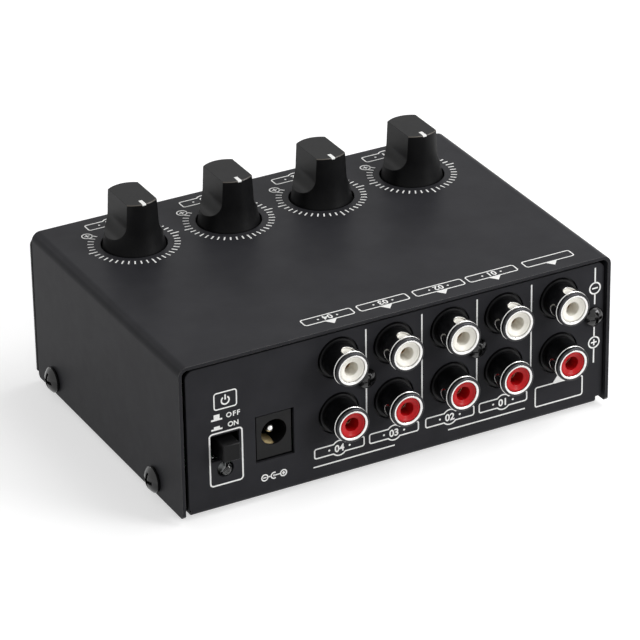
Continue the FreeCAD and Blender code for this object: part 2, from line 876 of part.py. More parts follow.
def jack_places(columns, rows=("jack_low", "jack_high"), turn=TO_REAR):
    return [(x, "rear_face", z, turn) for x in columns for z in rows]


def make_sleeves():
    """Plated sleeve: zero on the panel's outer face, its mouth up. Narrower behind its shoulder."""
    body = new_body("sleeve_pattern")
    inner = "sleeve_radius - sleeve_wall"
    back = "-(jack_seat + sheet)"
    revolve(body, [
        ("tail_radius - sleeve_wall", back),
        ("tail_radius", back),
        ("tail_radius", "shoulder"),
        ("sleeve_radius", "shoulder"),
        ("sleeve_radius", "jack_reach - lip_round", "lip_round", "left"),
        ("sleeve_radius - lip_round", "jack_reach"),
        ("lip_radius", "jack_reach"),
        ("lip_radius", "jack_reach - lip_length"),
        (inner, "jack_reach - lip_length"),
        (inner, "shoulder + sleeve_wall"),
        ("tail_radius - sleeve_wall", "shoulder + sleeve_wall"),
    ])
    half = "(notch_width / 2)"
    bend = f"notch_start + {half}"
    end = "notch_start + notch_length"
    slot = [
        (f"-{half}", bend, half, "left"),
        ("0", "notch_start", half, "left"),
        (half, bend),
        (half, end),
        (f"-{half}", end),
    ]
    pocket(body, "XZ", [slot], "sleeve_radius", "lip_radius", reverse=True)
    tongue = f"({half} - lance_cut)"
    lance = [
        (f"-{half}", bend, half, "left"),
        ("0", "notch_start", half, "left"),
        (half, bend),
        (half, end),
        (tongue, end),
        (tongue, bend, tongue, "right"),
        ("0", "notch_start + lance_cut", tongue, "right"),
        (f"-{tongue}", bend),
        (f"-{tongue}", end),
        (f"-{half}", end),
    ]
    pocket(body, "YZ", [lance], "sleeve_radius", "lip_radius", reverse=True)
    # The slot is above in the high row and below in the low row. The lanced tongue faces +X,
    # but in the first column it faces the second one.
    other_hand = doc.addObject("Part::Mirroring", "sleeve_other_hand")
    other_hand.Source = body
    other_hand.Normal = X_AXIS
    over = FreeCAD.Rotation(Y_AXIS, 180).multiply(TO_REAR)
    group("jack_sleeves", [
        copies("sleeve_first_high", other_hand, jack_places(COLUMNS[:1], ["jack_high"])),
        copies("sleeve_first_low", body, jack_places(COLUMNS[:1], ["jack_low"], over)),
        copies("sleeve_high", body, jack_places(COLUMNS[1:], ["jack_high"])),
        copies("sleeve_low", other_hand, jack_places(COLUMNS[1:], ["jack_low"], over)),
    ])


def make_inserts():
    """Moulded insert with the centre socket, and in it the tube of the signal contact."""
    body = new_body("insert_pattern")
    outer = "sleeve_radius - sleeve_wall - insert_gap"
    tail = "tail_radius - sleeve_wall - insert_gap"
    step = "shoulder + sleeve_wall + insert_gap"
    back = "-(jack_seat + sheet)"
    ledge = "jack_reach - lip_length - insert_gap"
    front = "jack_reach - insert_set"
    floor = "jack_reach - insert_set - socket_depth"
    seat = "contact_radius + insert_gap"
    revolve(body, [
        (seat, back),
        (tail, back),
        (tail, step),
        (outer, step),
        (outer, ledge),
        ("lip_radius - lip_gap", ledge),
        ("lip_radius - lip_gap", front),
        ("socket_radius", front),
        ("socket_radius", floor),
        (seat, floor),
    ])
    copies("jack_inserts_white", body, [(x, "rear_face", "jack_high", TO_REAR) for x in COLUMNS])
    copies("jack_inserts_red", body, [(x, "rear_face", "jack_low", TO_REAR) for x in COLUMNS])
    end = "-(jack_seat + sheet + contact_tail)"
    length = f"{floor} - ({end})"
    tube = rod("contact_tube", "contact_radius", length, "0", "0", end)
    bore = rod("contact_bore", "contact_radius - contact_wall", length, "0", "0", f"{end} + contact_wall")
    copies("jack_contacts", cut("contact_pattern", tube, [bore]), jack_places(COLUMNS))


# DC inlet

def spring_profile(gap):
    """Bowed strip seen from the side: its ends lie outside the mouth and its middle rises into it."""
    low = f"(-inlet_bore - spring_thickness - spring_swell / 2 - {gap})"
    high = f"({low} + spring_thickness + 2 * {gap})"
    front = f"(-spring_setback + {gap})"
    back = f"(-spring_setback - spring_length - {gap})"
    bow = "(spring_length ^ 2 / (8 * spring_swell) + spring_swell / 2)"
    return [
        (back, low, bow, "right"),
        (front, low),
        (front, high, bow, "left"),
        (back, high),
    ]


def make_inlet():
    """Square housing with a round mouth, a centre pin and a sprung side contact in a slot."""
    aside = FreeCAD.Rotation(Y_AXIS, -14)
    body = box("inlet_body", "inlet_width", "inlet_length", "inlet_height",
               "inlet_x - inlet_width / 2", "inlet_front - inlet_length", "board_top")
    mouth = rod("inlet_mouth", "inlet_bore", "inlet_bore_depth + sheet",
                "inlet_x", "inlet_front - inlet_bore_depth", "inlet_z", TO_REAR)
    seat = rod("inlet_pin_seat", "inlet_pin - inlet_pin_step + tapped_clearance", "inlet_length",
               "inlet_x", "inlet_front - inlet_length + sheet", "inlet_z", TO_REAR)
    slot = new_body("inlet_spring_slot")
    half = "(spring_width / 2 + tapped_clearance)"
    low = "(inlet_bore + spring_thickness + spring_swell / 2 + tapped_clearance)"
    reach = rectangle("-spring_setback - spring_length - tapped_clearance", "tapped_clearance - spring_setback",
                      f"-{low}", "-inlet_bore / 2")
    pad(slot, "YZ", [reach], f"2 * {half}", f"-{half}")
    put(slot, "inlet_x", "inlet_front", "inlet_z", aside)
    cut("inlet_housing", body, [mouth, seat, slot])
    shaft = rod("inlet_pin_shaft", "inlet_pin", "inlet_bore_depth - inlet_pin_stand - inlet_pin_set - inlet_pin",
                "inlet_x", "inlet_front - inlet_bore_depth + inlet_pin_stand", "inlet_z", TO_REAR)
    tail = rod("inlet_pin_tail", "inlet_pin - inlet_pin_step",
               "inlet_length - sheet - inlet_bore_depth + inlet_pin_stand",
               "inlet_x", "inlet_front - inlet_length + sheet", "inlet_z", TO_REAR)
    tip = doc.addObject("Part::Sphere", "inlet_pin_tip")
    tip.setExpression("Radius", full("inlet_pin"))
    put(tip, "inlet_x", "inlet_front - inlet_pin_set - inlet_pin", "inlet_z")
    fuse("inlet_contact", [shaft, tail, tip])
    spring = new_body("inlet_spring")
    pad(spring, "YZ", [spring_profile("0")], "spring_width", "-spring_width / 2")
    put(spring, "inlet_x", "inlet_front", "inlet_z", aside)
    pins("inlet_terminals", inlet_pins(), "board_under - lead_below", "board_top")


# Power switch and light

def make_switch():
    """Latching push switch: housing on its leads, square plunger, coil spring and button."""
    width = "(plunger_width + 2 * plunger_gap)"
    shell = box("switch_shell", "switch_width", "switch_length", "switch_height",
                "switch_x - switch_width / 2", "switch_front - switch_length", "switch_base")
    well = box("switch_well", width, "switch_length", width,
               f"switch_x - {width} / 2", "switch_floor", f"switch_z - {width} / 2")
    cut("switch_housing", shell, [well])
    pins("switch_terminals", switch_pins(), "board_under - lead_below", "switch_base")
    box("switch_plunger", "plunger_width", "plunger_back + button_reach - button_roof", "plunger_width",
        "switch_x - plunger_width / 2", "rear_face - plunger_back", "switch_z - plunger_width / 2")
    make_button()
    make_return_spring()


def square(half):
    return rectangle(f"switch_x - {half}", f"switch_x + {half}", f"switch_z - {half}", f"switch_z + {half}")


def make_button():
    body = new_body("power_button")
    pad(body, "XZ", [square("button_width / 2")], "button_length", "-(rear_face + button_reach)")
    front = number("rear_face + button_reach")
    round_edges(body, "button_round", lambda at, run, edge: abs(at.y - front) < 0.01)
    socket = square("(plunger_width / 2 + button_fit)")
    back = "rear_face + button_reach - button_length"
    pocket(body, "XZ", [socket], "button_length - button_roof", f"-({back})")


def make_return_spring():
    """Round wire wound between the floor of the switch's well and the plunger."""
    path = doc.addObject("Part::Helix", "coil_path")
    path.setExpression("Radius", full("coil_radius"))
    path.setExpression("Height", full("coil_length"))
    path.setExpression("Pitch", full("coil_length / coil_turns"))
    wire = doc.addObject("Part::Circle", "coil_section")
    wire.setExpression("Radius", full("coil_wire"))
    put(wire, "coil_radius", "0", "0", FreeCAD.Rotation(X_AXIS, 90))
    doc.recompute()
    spring = doc.addObject("Part::Sweep", "switch_spring")
    spring.Sections = [wire]
    spring.Spine = (path, [f"Edge{index}" for index in range(1, len(path.Shape.Edges) + 1)])
    spring.Solid = True
    spring.Frenet = True
    put(spring, "switch_x", "switch_floor + coil_wire", "switch_z", TO_REAR)


def make_light():
    """Round lens on its flange, and two leads that run back over the board and down through it."""
    body = new_body("light_lens")
    back = "light_reach - light_length"
    revolve(body, [
        ("0", back),
        ("light_flange", back),
        ("light_flange", f"{back} + light_flange_length"),
        ("light_radius", f"{back} + light_flange_length"),
        ("light_radius", "light_reach - light_radius", "light_radius", "left"),
        ("0", "light_reach"),
    ])
    put(body, "switch_x", "rear_face", "light_z", TO_REAR)
    wires = []
    for x, y in light_pins():
        run = box("light_run", "light_lead", "light_lead_run + light_lead / 2", "light_lead",
                  f"{x} - light_lead / 2", f"{y} - light_lead / 2", "light_z - light_lead / 2")
        drop = block("light_drop", "light_lead", "light_lead", "light_z - board_under + lead_below",
                     x, y, "board_under - lead_below")
        wires.append(fuse("light_wire", [run, drop]))
    group("light_leads", wires)


# Dials

def knob_outline():
    """Half outline of a knob, from its axis out along the underside and up to the crown."""
    return [
        ("0", "0"),
        ("knob_skirt", "0"),
        ("knob_skirt", "knob_band", "knob_flare", "right"),
        ("knob_waist", "knob_waist_height"),
        ("knob_crown", "knob_height - knob_edge", "knob_edge", "left"),
        ("knob_crown - knob_edge", "knob_height"),
        ("0", "knob_height"),
    ]


def scoop(sign, turn):
    """The cut that leaves one flat of the grip, sweeping out into the skirt."""
    foot = "scoop_floor + scoop_radius"
    outside = f"{sign}2 * knob_skirt"
    above = "knob_height + sheet"
    wall = "(grip + grip_draft)"
    return [
        (f"{sign}grip", above),
        (f"{sign}{wall}", foot, "scoop_radius", turn),
        (f"{sign}({wall} + scoop_radius)", "scoop_floor"),
        (outside, "scoop_floor"),
        (outside, above),
    ]


def shaft_section(fit):
    """D-shaped section, its flat on the side away from the pointer."""
    radius = f"(shaft_radius + {fit})"
    flat = f"(shaft_flat + {fit})"
    half = f"sqrt({radius} ^ 2 - {flat} ^ 2)"
    return [
        (f"-{half}", f"-{flat}"),
        (half, f"-{flat}", radius, "left"),
        ("0", radius, radius, "left"),
    ]


def pointer_profile():
    """Side view of the pointer's groove: along the crown and a little down the rear of the grip."""
    front = "knob_crown - pointer_length"
    behind = "knob_crown - pointer_depth"
    outside = "knob_crown + sheet"
    above = "knob_height + sheet"
    return [
        (front, "knob_height - pointer_depth"),
        (behind, "knob_height - pointer_depth"),
        (behind, "knob_height - pointer_drop"),
        (outside, "knob_height - pointer_drop"),
        (outside, above),
        (front, above),
    ]


def make_knob(name, x):
    """Knob: zero on its axis at its underside. Hollow over the bushing, bored for the flatted shaft."""
    body = new_body(name)
    revolve(body, knob_outline())
    pocket(body, "XZ", [scoop("", "left")])
    pocket(body, "XZ", [scoop("-", "right")])
    hollow = "(bushing_top - knob_base)"
    recess = circle("0", "0", "bushing_radius + bushing_recess_gap")
    pocket(body, "XY", [recess], f"{hollow} + bushing_recess_gap", reverse=True)
    depth = f"{hollow} + shaft_start + shaft_length + bushing_recess_gap"
    pocket(body, "XY", [shaft_section("shaft_fit")], depth, reverse=True)
    pocket(body, "YZ", [pointer_profile()], "pointer_width", "pointer_width / 2")
    put(body, x, "knob_y", "knob_base")


def make_pointer(name, x):
    """White inlay: what of the groove lies inside the knob's round outline."""
    outline = new_body(name + "_outline")
    revolve(outline, knob_outline())
    groove = new_body(name + "_groove")
    pad(groove, "YZ", [pointer_profile()], "pointer_width", "-pointer_width / 2")
    pointer = doc.addObject("Part::Common", name)
    pointer.Base = outline
    pointer.Tool = groove
    put(pointer, x, "knob_y", "knob_base")


def make_shaft(name, x):
    """Shaft: zero on its axis at the bushing's top. Rotor disc, neck, and head with a flat."""
    body = new_body(name)
    rotor_top = "-(bushing_length + pot_lid + rotor_gap)"
    top = "shaft_start + shaft_length"
    revolve(body, [
        ("0", f"{rotor_top} - rotor_thickness"),
        ("rotor_radius", f"{rotor_top} - rotor_thickness"),
        ("rotor_radius", rotor_top),
        ("neck_radius", rotor_top),
        ("neck_radius", "shaft_start"),
        ("shaft_radius", "shaft_start"),
        ("shaft_radius", f"{top} - shaft_chamfer"),
        ("shaft_radius - shaft_chamfer", top),
        ("0", top),
    ])
    flat = rectangle("-2 * shaft_radius", "2 * shaft_radius", "-2 * shaft_radius", "-shaft_flat")
    pocket(body, "XY", [flat], "shaft_length", top)
    put(body, x, "knob_y", "bushing_top")


def make_pots():
    """Dual potentiometers on the control board, their bushings free of the cover."""
    case = block("pot_shell", "pot_width", "pot_depth", "pot_height", "0", "0", "-pot_height")
    depth = "rotor_thickness + 2 * rotor_gap"
    well = rod("pot_well_part", "pot_well", depth, "0", "0", f"-(pot_lid + {depth})")
    neck = rod("pot_neck_hole", "neck_radius + neck_clearance", "2 * pot_lid", "0", "0", "-1.5 * pot_lid")
    places = [(x, "knob_y", "pot_top") for x in KNOBS]
    copies("pot_cases", cut("pot_case_pattern", case, [well, neck]), places)
    tube = rod("bushing_tube", "bushing_radius", "bushing_length", "0", "0", "0")
    bore = rod("bushing_bore", "neck_radius + neck_clearance", "bushing_length + 2 * sheet", "0", "0", "-sheet")
    copies("pot_bushings", cut("bushing_pattern", tube, [bore]), places)
    terminals = [place for x in KNOBS for place in pot_pins(x)]
    pins("pot_terminals", terminals, "control_under - lead_below", "pot_under")


# Ribbon cable, its two headers and the plugs on its ends

def make_ribbon():
    make_header("upper", "upper_header_y", "upper_plug", "control_under", "upper_ribbon", "upper_plug")
    make_header("lower", "lower_header_y", "board_top", "lower_plug", "lower_plug", "lower_ribbon")
    bases = [doc.getObject(end + "_header") for end in ("upper", "lower")]
    plugs = [doc.getObject(end + "_plug_part") for end in ("upper", "lower")]
    group("header_bases", bases)
    group("ribbon_plugs", plugs)
    upper = pins("upper_pins", header_places("upper_header_y"),
                 "upper_plug - header_pin_reach", "pot_under + lead_below", "header_pin")
    lower = pins("lower_pins", header_places("lower_header_y"),
                 "board_under - lead_below", "lower_plug + header_pin_reach", "header_pin")
    group("header_pins", [upper, lower])
    make_cable()


def make_header(end, y, base_low, base_high, plug_low, plug_high):
    """A header base, and the plug that the ribbon passes through under its cap."""
    low = f"({base_low} - sheet)"
    high = f"({plug_high} + sheet)"
    base = block(end + "_base", "ways * header_pitch", "2 * header_pitch", "header_base", "0", y, base_low)
    plug = block(end + "_shell", "plug_length", "plug_depth", "plug_height", "0", y, plug_low)
    holes = []
    for x, row in header_places(y):
        holes.append(rod(end + "_pin_hole", "pin_hole", "header_base + 2 * sheet", x, row, low))
    cut(end + "_header", base, holes)
    holes = []
    inner = "plug_height - plug_cap"
    pin_low = plug_low if end == "lower" else f"{plug_low} + plug_cap"
    for x, row in header_places(y):
        holes.append(rod(end + "_plug_hole", "pin_hole", inner, x, row, pin_low))
    z = "ribbon_high" if end == "upper" else "ribbon_low"
    thickness = "(ribbon_thickness + 2 * ribbon_gap)"
    holes.append(block(end + "_ribbon_slot", "ribbon_width + 2 * ribbon_gap", "2 * plug_depth", thickness,
                       "0", y, f"{z} - {thickness} / 2"))
    cut(end + "_plug_part", plug, holes)


def make_cable():
    """The ribbon's side view: straight in both plugs, with two equal bends between them."""
    body = new_body("ribbon_cable")
    half = "ribbon_thickness / 2"
    start = "upper_header_y - plug_depth / 2 - ribbon_tail"
    end = "lower_header_y + plug_depth / 2 + ribbon_tail"
    middle_y = "(ribbon_start + ribbon_end) / 2"
    middle_z = "(ribbon_high + ribbon_low) / 2"
    across_y = f"{half} * ribbon_sine"
    across_z = f"{half} * ribbon_cosine"
    inside = f"ribbon_curve - {half}"
    outside = f"ribbon_curve + {half}"
    profile = [
        (start, f"ribbon_high - {half}"),
        ("ribbon_start", f"ribbon_high - {half}", inside, "right"),
        (f"{middle_y} - {across_y}", f"{middle_z} - {across_z}", outside, "left"),
        ("ribbon_end", f"ribbon_low - {half}"),
        (end, f"ribbon_low - {half}"),
        (end, f"ribbon_low + {half}"),
        ("ribbon_end", f"ribbon_low + {half}", inside, "right"),
        (f"{middle_y} + {across_y}", f"{middle_z} + {across_z}", outside, "left"),
        ("ribbon_start", f"ribbon_high + {half}"),
        (start, f"ribbon_high + {half}"),
    ]
    pad(body, "YZ", [profile], "ribbon_width", "-ribbon_width / 2")


# Parts on the main board

def make_capacitors():
    for name, size, places in (
        ("filter_capacitors", "filter_cap", filter_cap_places()),
        ("coupling_capacitors", "coupling_cap", coupling_cap_places()),
    ):
        can = rod(name + "_can", f"{size}_radius", f"{size}_height", "0", "0", "0")
        copies(name, can, [(x, y, "board_top") for x, y in places])
    lead = rod("capacitor_lead", "cap_lead_radius", "board_thickness + lead_below", "0", "0", "0")
    copies("capacitor_leads", lead, [(x, y, "board_under - lead_below") for x, y in capacitor_pins()])


def make_chips():
    """Eight-lead amplifier chips, one for each column, with gull-wing leads."""
    case = block("chip_case", "chip_length", "chip_width", "chip_height", "0", "0", "chip_lift")
    copies("amplifier_chips", case, [(x, "chip_y", "board_top") for x in COLUMNS])
    lead = new_body("chip_lead_pattern")
    side = "chip_width / 2"
    knee = f"{side} + chip_pin_knee"
    mid = "chip_lift + chip_height / 2"
    pad(lead, "YZ", [[
        (side, mid),
        (knee, mid),
        (knee, "0"),
        (f"{side} + chip_pin_reach", "0"),
        (f"{side} + chip_pin_reach", "chip_pin_thickness"),
        (f"{knee} + chip_pin_thickness", "chip_pin_thickness"),
        (f"{knee} + chip_pin_thickness", f"{mid} + chip_pin_thickness"),
        (side, f"{mid} + chip_pin_thickness"),
    ]], "chip_pin_width", "-chip_pin_width / 2")
    places = []
    for x in COLUMNS:
        for pin in (-1.5, -0.5, 0.5, 1.5):
            for turn in (UPRIGHT, FreeCAD.Rotation(Z_AXIS, 180)):
                places.append((f"{x} + {pin} * chip_pin_pitch", "chip_y", "board_top", turn))
    copies("chip_leads", lead, places)
    resistor = block("resistor_case", "resistor_length", "resistor_width", "resistor_height", "0", "0", "0")
    places = []
    for x in COLUMNS:
        for side in (-1.8, 1.8):
            for row in (-5, 5):
                places.append((f"{x} + {side}", f"chip_y + {row}", "board_top"))
    copies("chip_resistors", resistor, places)


def make_regulator():
    """Upright voltage regulator with its metal tab, and the diode behind the inlet."""
    x, y = regulator_place()
    foot = "board_top + regulator_stand"
    body_depth = "(regulator_thickness - regulator_tab)"
    box("voltage_regulator", "regulator_width", body_depth, "regulator_height",
        f"{x} - regulator_width / 2", f"{y} - {body_depth} / 2", foot)
    tab = box("regulator_sheet", "regulator_width", "regulator_tab", "regulator_tab_height",
              f"{x} - regulator_width / 2", f"{y} + {body_depth} / 2", foot)
    hole = rod("regulator_hole", "1.8", "regulator_thickness", x, y, f"{foot} + regulator_tab_height - 2.8", TO_REAR)
    cut("regulator_plate", tab, [hole])
    pins("regulator_leads", regulator_pins(), "board_under - lead_below", foot)
    rod("protection_diode", "diode_radius", "diode_length",
        "inlet_x - diode_length / 2", "block_back - 6", "board_top + diode_radius", TO_RIGHT)


make_cover()
make_chassis()
make_feet()
make_screws()
make_standoffs()
make_main_board()
make_control_board()
make_pillars()
make_jack_block("jack_block_34", COLUMNS[0:2])
make_jack_block("jack_block_12", COLUMNS[2:4])
make_jack_block("jack_block_in", COLUMNS[4:5])
make_sleeves()
make_inserts()
pins("jack_terminals", jack_pins(), "board_under - lead_below", "board_top")
make_inlet()
make_switch()
make_light()
make_pots()
for channel, knob_x in enumerate(KNOBS, 1):
    make_knob(f"knob_{channel}", knob_x)
    make_pointer(f"knob_pointer_{channel}", knob_x)
    make_shaft(f"pot_shaft_{channel}", knob_x)
make_ribbon()
make_capacitors()
make_chips()
make_regulator()
doc.recompute()

SUB_PARTS = """
    cover chassis cover_screws rubber_feet
    knob_1 knob_2 knob_3 knob_4
    knob_pointer_1 knob_pointer_2 knob_pointer_3 knob_pointer_4
    pot_shaft_1 pot_shaft_2 pot_shaft_3 pot_shaft_4
    pot_cases pot_bushings pot_terminals control_board control_pillars
    header_bases header_pins ribbon_plugs ribbon_cable
    main_board board_standoffs board_screws
    jack_block_34 jack_block_12 jack_block_in jack_sleeves jack_inserts_white jack_inserts_red
    jack_contacts jack_terminals panel_screws
    inlet_housing inlet_contact inlet_spring inlet_terminals
    switch_housing switch_plunger power_button switch_spring switch_terminals
    light_lens light_leads
    filter_capacitors coupling_capacitors capacitor_leads
    amplifier_chips chip_leads chip_resistors
    voltage_regulator regulator_plate regulator_leads protection_diode
""".split()

for item in doc.Objects:
    if "Invalid" in item.State or "Error" in item.State:
        raise ValueError(f"{item.Label} did not build: {item.State}")
for label in SUB_PARTS:
    shape = doc.getObject(label).Shape
    if shape.isNull() or not shape.isValid() or not shape.Solids:
        raise ValueError(f"{label} has no sound shape")

os.makedirs("parts", exist_ok=True)
for label in SUB_PARTS:
    doc.getObject(label).Shape.exportStep(f"parts/{label}.step")
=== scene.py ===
import json
import math

import bmesh
import bpy
from mathutils import Matrix, Vector


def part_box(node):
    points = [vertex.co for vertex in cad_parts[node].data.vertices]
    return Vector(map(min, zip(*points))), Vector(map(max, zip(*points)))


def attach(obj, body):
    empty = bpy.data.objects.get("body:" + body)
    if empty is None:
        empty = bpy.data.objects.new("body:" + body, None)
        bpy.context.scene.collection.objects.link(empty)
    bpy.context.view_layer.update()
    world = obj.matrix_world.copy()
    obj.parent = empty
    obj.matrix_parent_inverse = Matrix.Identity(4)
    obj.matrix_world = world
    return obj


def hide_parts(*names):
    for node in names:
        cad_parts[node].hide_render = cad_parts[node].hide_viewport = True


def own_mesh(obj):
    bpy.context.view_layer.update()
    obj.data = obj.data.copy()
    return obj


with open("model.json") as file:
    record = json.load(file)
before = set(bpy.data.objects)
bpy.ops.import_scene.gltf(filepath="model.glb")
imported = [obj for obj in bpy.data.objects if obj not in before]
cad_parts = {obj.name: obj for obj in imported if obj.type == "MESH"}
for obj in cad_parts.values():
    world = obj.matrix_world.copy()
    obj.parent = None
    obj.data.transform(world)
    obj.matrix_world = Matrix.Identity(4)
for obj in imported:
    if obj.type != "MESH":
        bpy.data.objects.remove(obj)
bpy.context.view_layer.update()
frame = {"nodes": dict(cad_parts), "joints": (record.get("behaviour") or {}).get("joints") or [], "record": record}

# A small black amplifier that splits one stereo line into four, seen from its socket side.
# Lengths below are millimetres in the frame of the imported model, and times MM they are metres.

MM = 0.001


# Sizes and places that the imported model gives

def in_mm(values):
    """Metres as millimetres, to the nearest thousandth."""
    return [round(value / MM, 3) for value in values]


def corners(node):
    """Lowest and highest corner of a CAD node, in millimetres."""
    low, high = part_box(node)
    return in_mm(low), in_mm(high)


JOINTS = {joint["name"]: joint for joint in frame["joints"]}
MOUNTS = {mount["name"]: mount for mount in frame["record"]["mounts"]}

_, FRONT_EDGE, _ = corners("cover")[0]
_, REAR_EDGE, COVER_TOP = corners("cover")[1]
_, REAR_FACE, _ = corners("chassis")[1]

KNOB_X = [in_mm(JOINTS[f"dial_{number}_turn"]["pos_m"])[0] for number in range(1, 5)]
_, KNOB_Y, _ = in_mm(JOINTS["dial_1_turn"]["pos_m"])
_, _, KNOB_TOP = corners("knob_1")[1]

JACK_COLUMNS = ("output_4", "output_3", "output_2", "output_1", "input")
JACK_X = [in_mm(MOUNTS[column + "_left_shell"]["pos_m"])[0] for column in JACK_COLUMNS]
_, _, JACK_HIGH = in_mm(MOUNTS["input_left_shell"]["pos_m"])
_, _, JACK_LOW = in_mm(MOUNTS["input_right_shell"]["pos_m"])
SLEEVE_RADIUS = MOUNTS["input_left_shell"]["dims"]["r_mm"]

LIGHT_X, _, LIGHT_Z = [(low + high) / 2 for low, high in zip(*corners("light_lens"))]
_, LIGHT_TIP, _ = corners("light_lens")[1]

# Worn edges: points closer than this are one, and how far two faces turn from flat to count as bent
SAME_POINT = 0.002
FLAT_ANGLE = 0.6
CORNER_ANGLE = 35
SMOOTH_ANGLE = 28
CUT_EDGE_DEPTH = 0.17

# Ink: how far its under and upper side stand off the coat, and the widths of its lines
INK_LOW = 0.004
INK_HIGH = 0.03
RULE = 0.36
LABEL_RULE = 0.33
FINE_RULE = 0.3
TICK_RULE = 0.34

# The printing's places on the top and the rear. A dial's plus sign is placed from its axis.
DIAL_LABEL_Y = -36.0
DIAL_SIGN = (8.0, -8.4)
TOP_LABEL_X = (-41.4, -26.6, -12.85, 1.4, 15.4)
TOP_LABEL_Y = 30.3
LABEL_HALF = 6.25
REAR_LABEL_Z = 8.3
LABEL_PAIR_RULE_Z = 5.0
COLUMN_RULE_X = [(one + two) / 2 for one, two in zip(JACK_X, JACK_X[1:])]
COLUMN_RULE_TOP = 36.5
COLUMN_RULE_END = 12.0
SIDE_RULE_X = -51.45
POWER_SIGN = (43.35, 28.25)
INLET_SIGN = (31.75, 5.95)


# Colour

def linear(code):
    """Linear RGBA of an sRGB hex colour."""
    channels = [int(code[i:i + 2], 16) / 255 for i in (0, 2, 4)]
    curved = [c / 12.92 if c <= 0.04045 else ((c + 0.055) / 1.055) ** 2.4 for c in channels]
    return tuple(curved) + (1.0,)


# Camera, at the photograph's viewing angle

VIEW_ANGLES = (152.12, 27.9, -0.9)
VIEW_TARGET = (0.04, -2.3, 19.63)
VIEW_DISTANCE = 897.87
LENS = 218.2
SENSOR = 36


def make_camera():
    azimuth, elevation, roll = [math.radians(angle) for angle in VIEW_ANGLES]
    target = Vector(VIEW_TARGET)
    level = math.cos(elevation)
    back = Vector((math.sin(azimuth) * level, -math.cos(azimuth) * level, math.sin(elevation)))
    across = Vector((math.cos(azimuth), math.sin(azimuth), 0))
    up = back.cross(across)
    right = across * math.cos(roll) + up * math.sin(roll)
    above = up * math.cos(roll) - across * math.sin(roll)
    data = bpy.data.cameras.new("photo_camera")
    data.sensor_width = SENSOR
    data.lens = LENS
    data.clip_start = 0.01
    data.clip_end = 20
    camera = bpy.data.objects.new("photo_camera", data)
    place = (target + back * VIEW_DISTANCE) * MM
    camera.matrix_world = Matrix((
        (right.x, above.x, back.x, place.x),
        (right.y, above.y, back.y, place.y),
        (right.z, above.z, back.z, place.z),
        (0, 0, 0, 1)))
    bpy.context.collection.objects.link(camera)
    bpy.context.scene.camera = camera


# Light and floor. The lamps' places, aims and sizes are metres, and their powers watts.

LAMPS = [
    ("overhead_softbox", (-0.5, 0.15, 0.9), (0, 0, 0), (0.9, 0.7), 5.6),
    ("right_softbox", (-0.4, 0.45, 0.26), (0, 0, 0.02), (0.28, 0.28), 2.1),
    ("far_softbox", (0.3, -0.8, 0.4), (0, 0, 0.03), (0.2, 0.12), 0.35),
]
AMBIENT = 0.38
FLOOR_LIFT = 0.55
FLOOR_HALF = 3


def area_light(name, place, target, size, power):
    data = bpy.data.lights.new(name, "AREA")
    data.shape = "RECTANGLE"
    data.size, data.size_y = size
    data.energy = power
    light = bpy.data.objects.new(name, data)
    light.location = place
    light.rotation_euler = (Vector(place) - Vector(target)).to_track_quat("Z", "Y").to_euler()
    bpy.context.collection.objects.link(light)


def seen_directly(tree):
    """One for what is seen, straight, in a reflection or through a lens, and zero for lighting."""
    path = add(tree, "ShaderNodeLightPath")
    total = path.outputs["Is Camera Ray"]
    for name in ("Is Glossy Ray", "Is Transmission Ray"):
        step = add(tree, "ShaderNodeMath", {"operation": "ADD", "use_clamp": True})
        tree.links.new(total, step.inputs[0])
        tree.links.new(path.outputs[name], step.inputs[1])
        total = step.outputs[0]
    return total


def make_studio():
    scene = bpy.context.scene
    scene.view_settings.view_transform = "Standard"
    world = bpy.data.worlds.new("studio")
    scene.world = world
    world.use_nodes = True
    tree = world.node_tree
    ambient = tree.nodes["Background"]
    ambient.inputs["Color"].default_value = (1, 1, 1, 1)
    ambient.inputs["Strength"].default_value = AMBIENT
    white = add(tree, "ShaderNodeBackground", {"Color": (1, 1, 1, 1), "Strength": 1.0})
    mix = add(tree, "ShaderNodeMixShader", {}, {"Fac": seen_directly(tree)})
    tree.links.new(ambient.outputs[0], mix.inputs[1])
    tree.links.new(white.outputs[0], mix.inputs[2])
    tree.links.new(mix.outputs[0], tree.nodes["World Output"].inputs["Surface"])
    for lamp in LAMPS:
        area_light(*lamp)
    mesh = bpy.data.meshes.new("studio_floor")
    form = bmesh.new()
    bmesh.ops.create_grid(form, x_segments=1, y_segments=1, size=FLOOR_HALF)
    form.to_mesh(mesh)
    form.free()
    floor = bpy.data.objects.new("studio_floor", mesh)
    bpy.context.collection.objects.link(floor)
    mesh.materials.append(floor_material())


# Materials

def add(tree, kind, settings=None, links=None):
    """Adds a node. A setting named for an input sets that input, and any other the node itself."""
    node = tree.nodes.new(kind)
    for name, value in (settings or {}).items():
        if name in node.inputs:
            node.inputs[name].default_value = value
        else:
            setattr(node, name, value)
    for name, source in (links or {}).items():
        tree.links.new(source, node.inputs[name])
    return node


def new_material(name):
    material = bpy.data.materials.new(name)
    material.use_nodes = True
    tree = material.node_tree
    shader = tree.nodes["Principled BSDF"]
    place = add(tree, "ShaderNodeTexCoord").outputs["Object"]
    return material, tree, shader, place


def mottle(tree, place, shader, dark, pale, size_mm):
    """Colour that drifts between two near tones over patches of a real size."""
    noise = add(
        tree, "ShaderNodeTexNoise", {"Scale": 1 / (size_mm * MM), "Detail": 3.0}, {"Vector": place})
    ramp = add(tree, "ShaderNodeValToRGB", {}, {"Fac": noise.outputs["Fac"]})
    ramp.color_ramp.elements[0].position = 0.35
    ramp.color_ramp.elements[0].color = linear(dark)
    ramp.color_ramp.elements[1].position = 0.65
    ramp.color_ramp.elements[1].color = linear(pale)
    tree.links.new(ramp.outputs["Color"], shader.inputs["Base Color"])


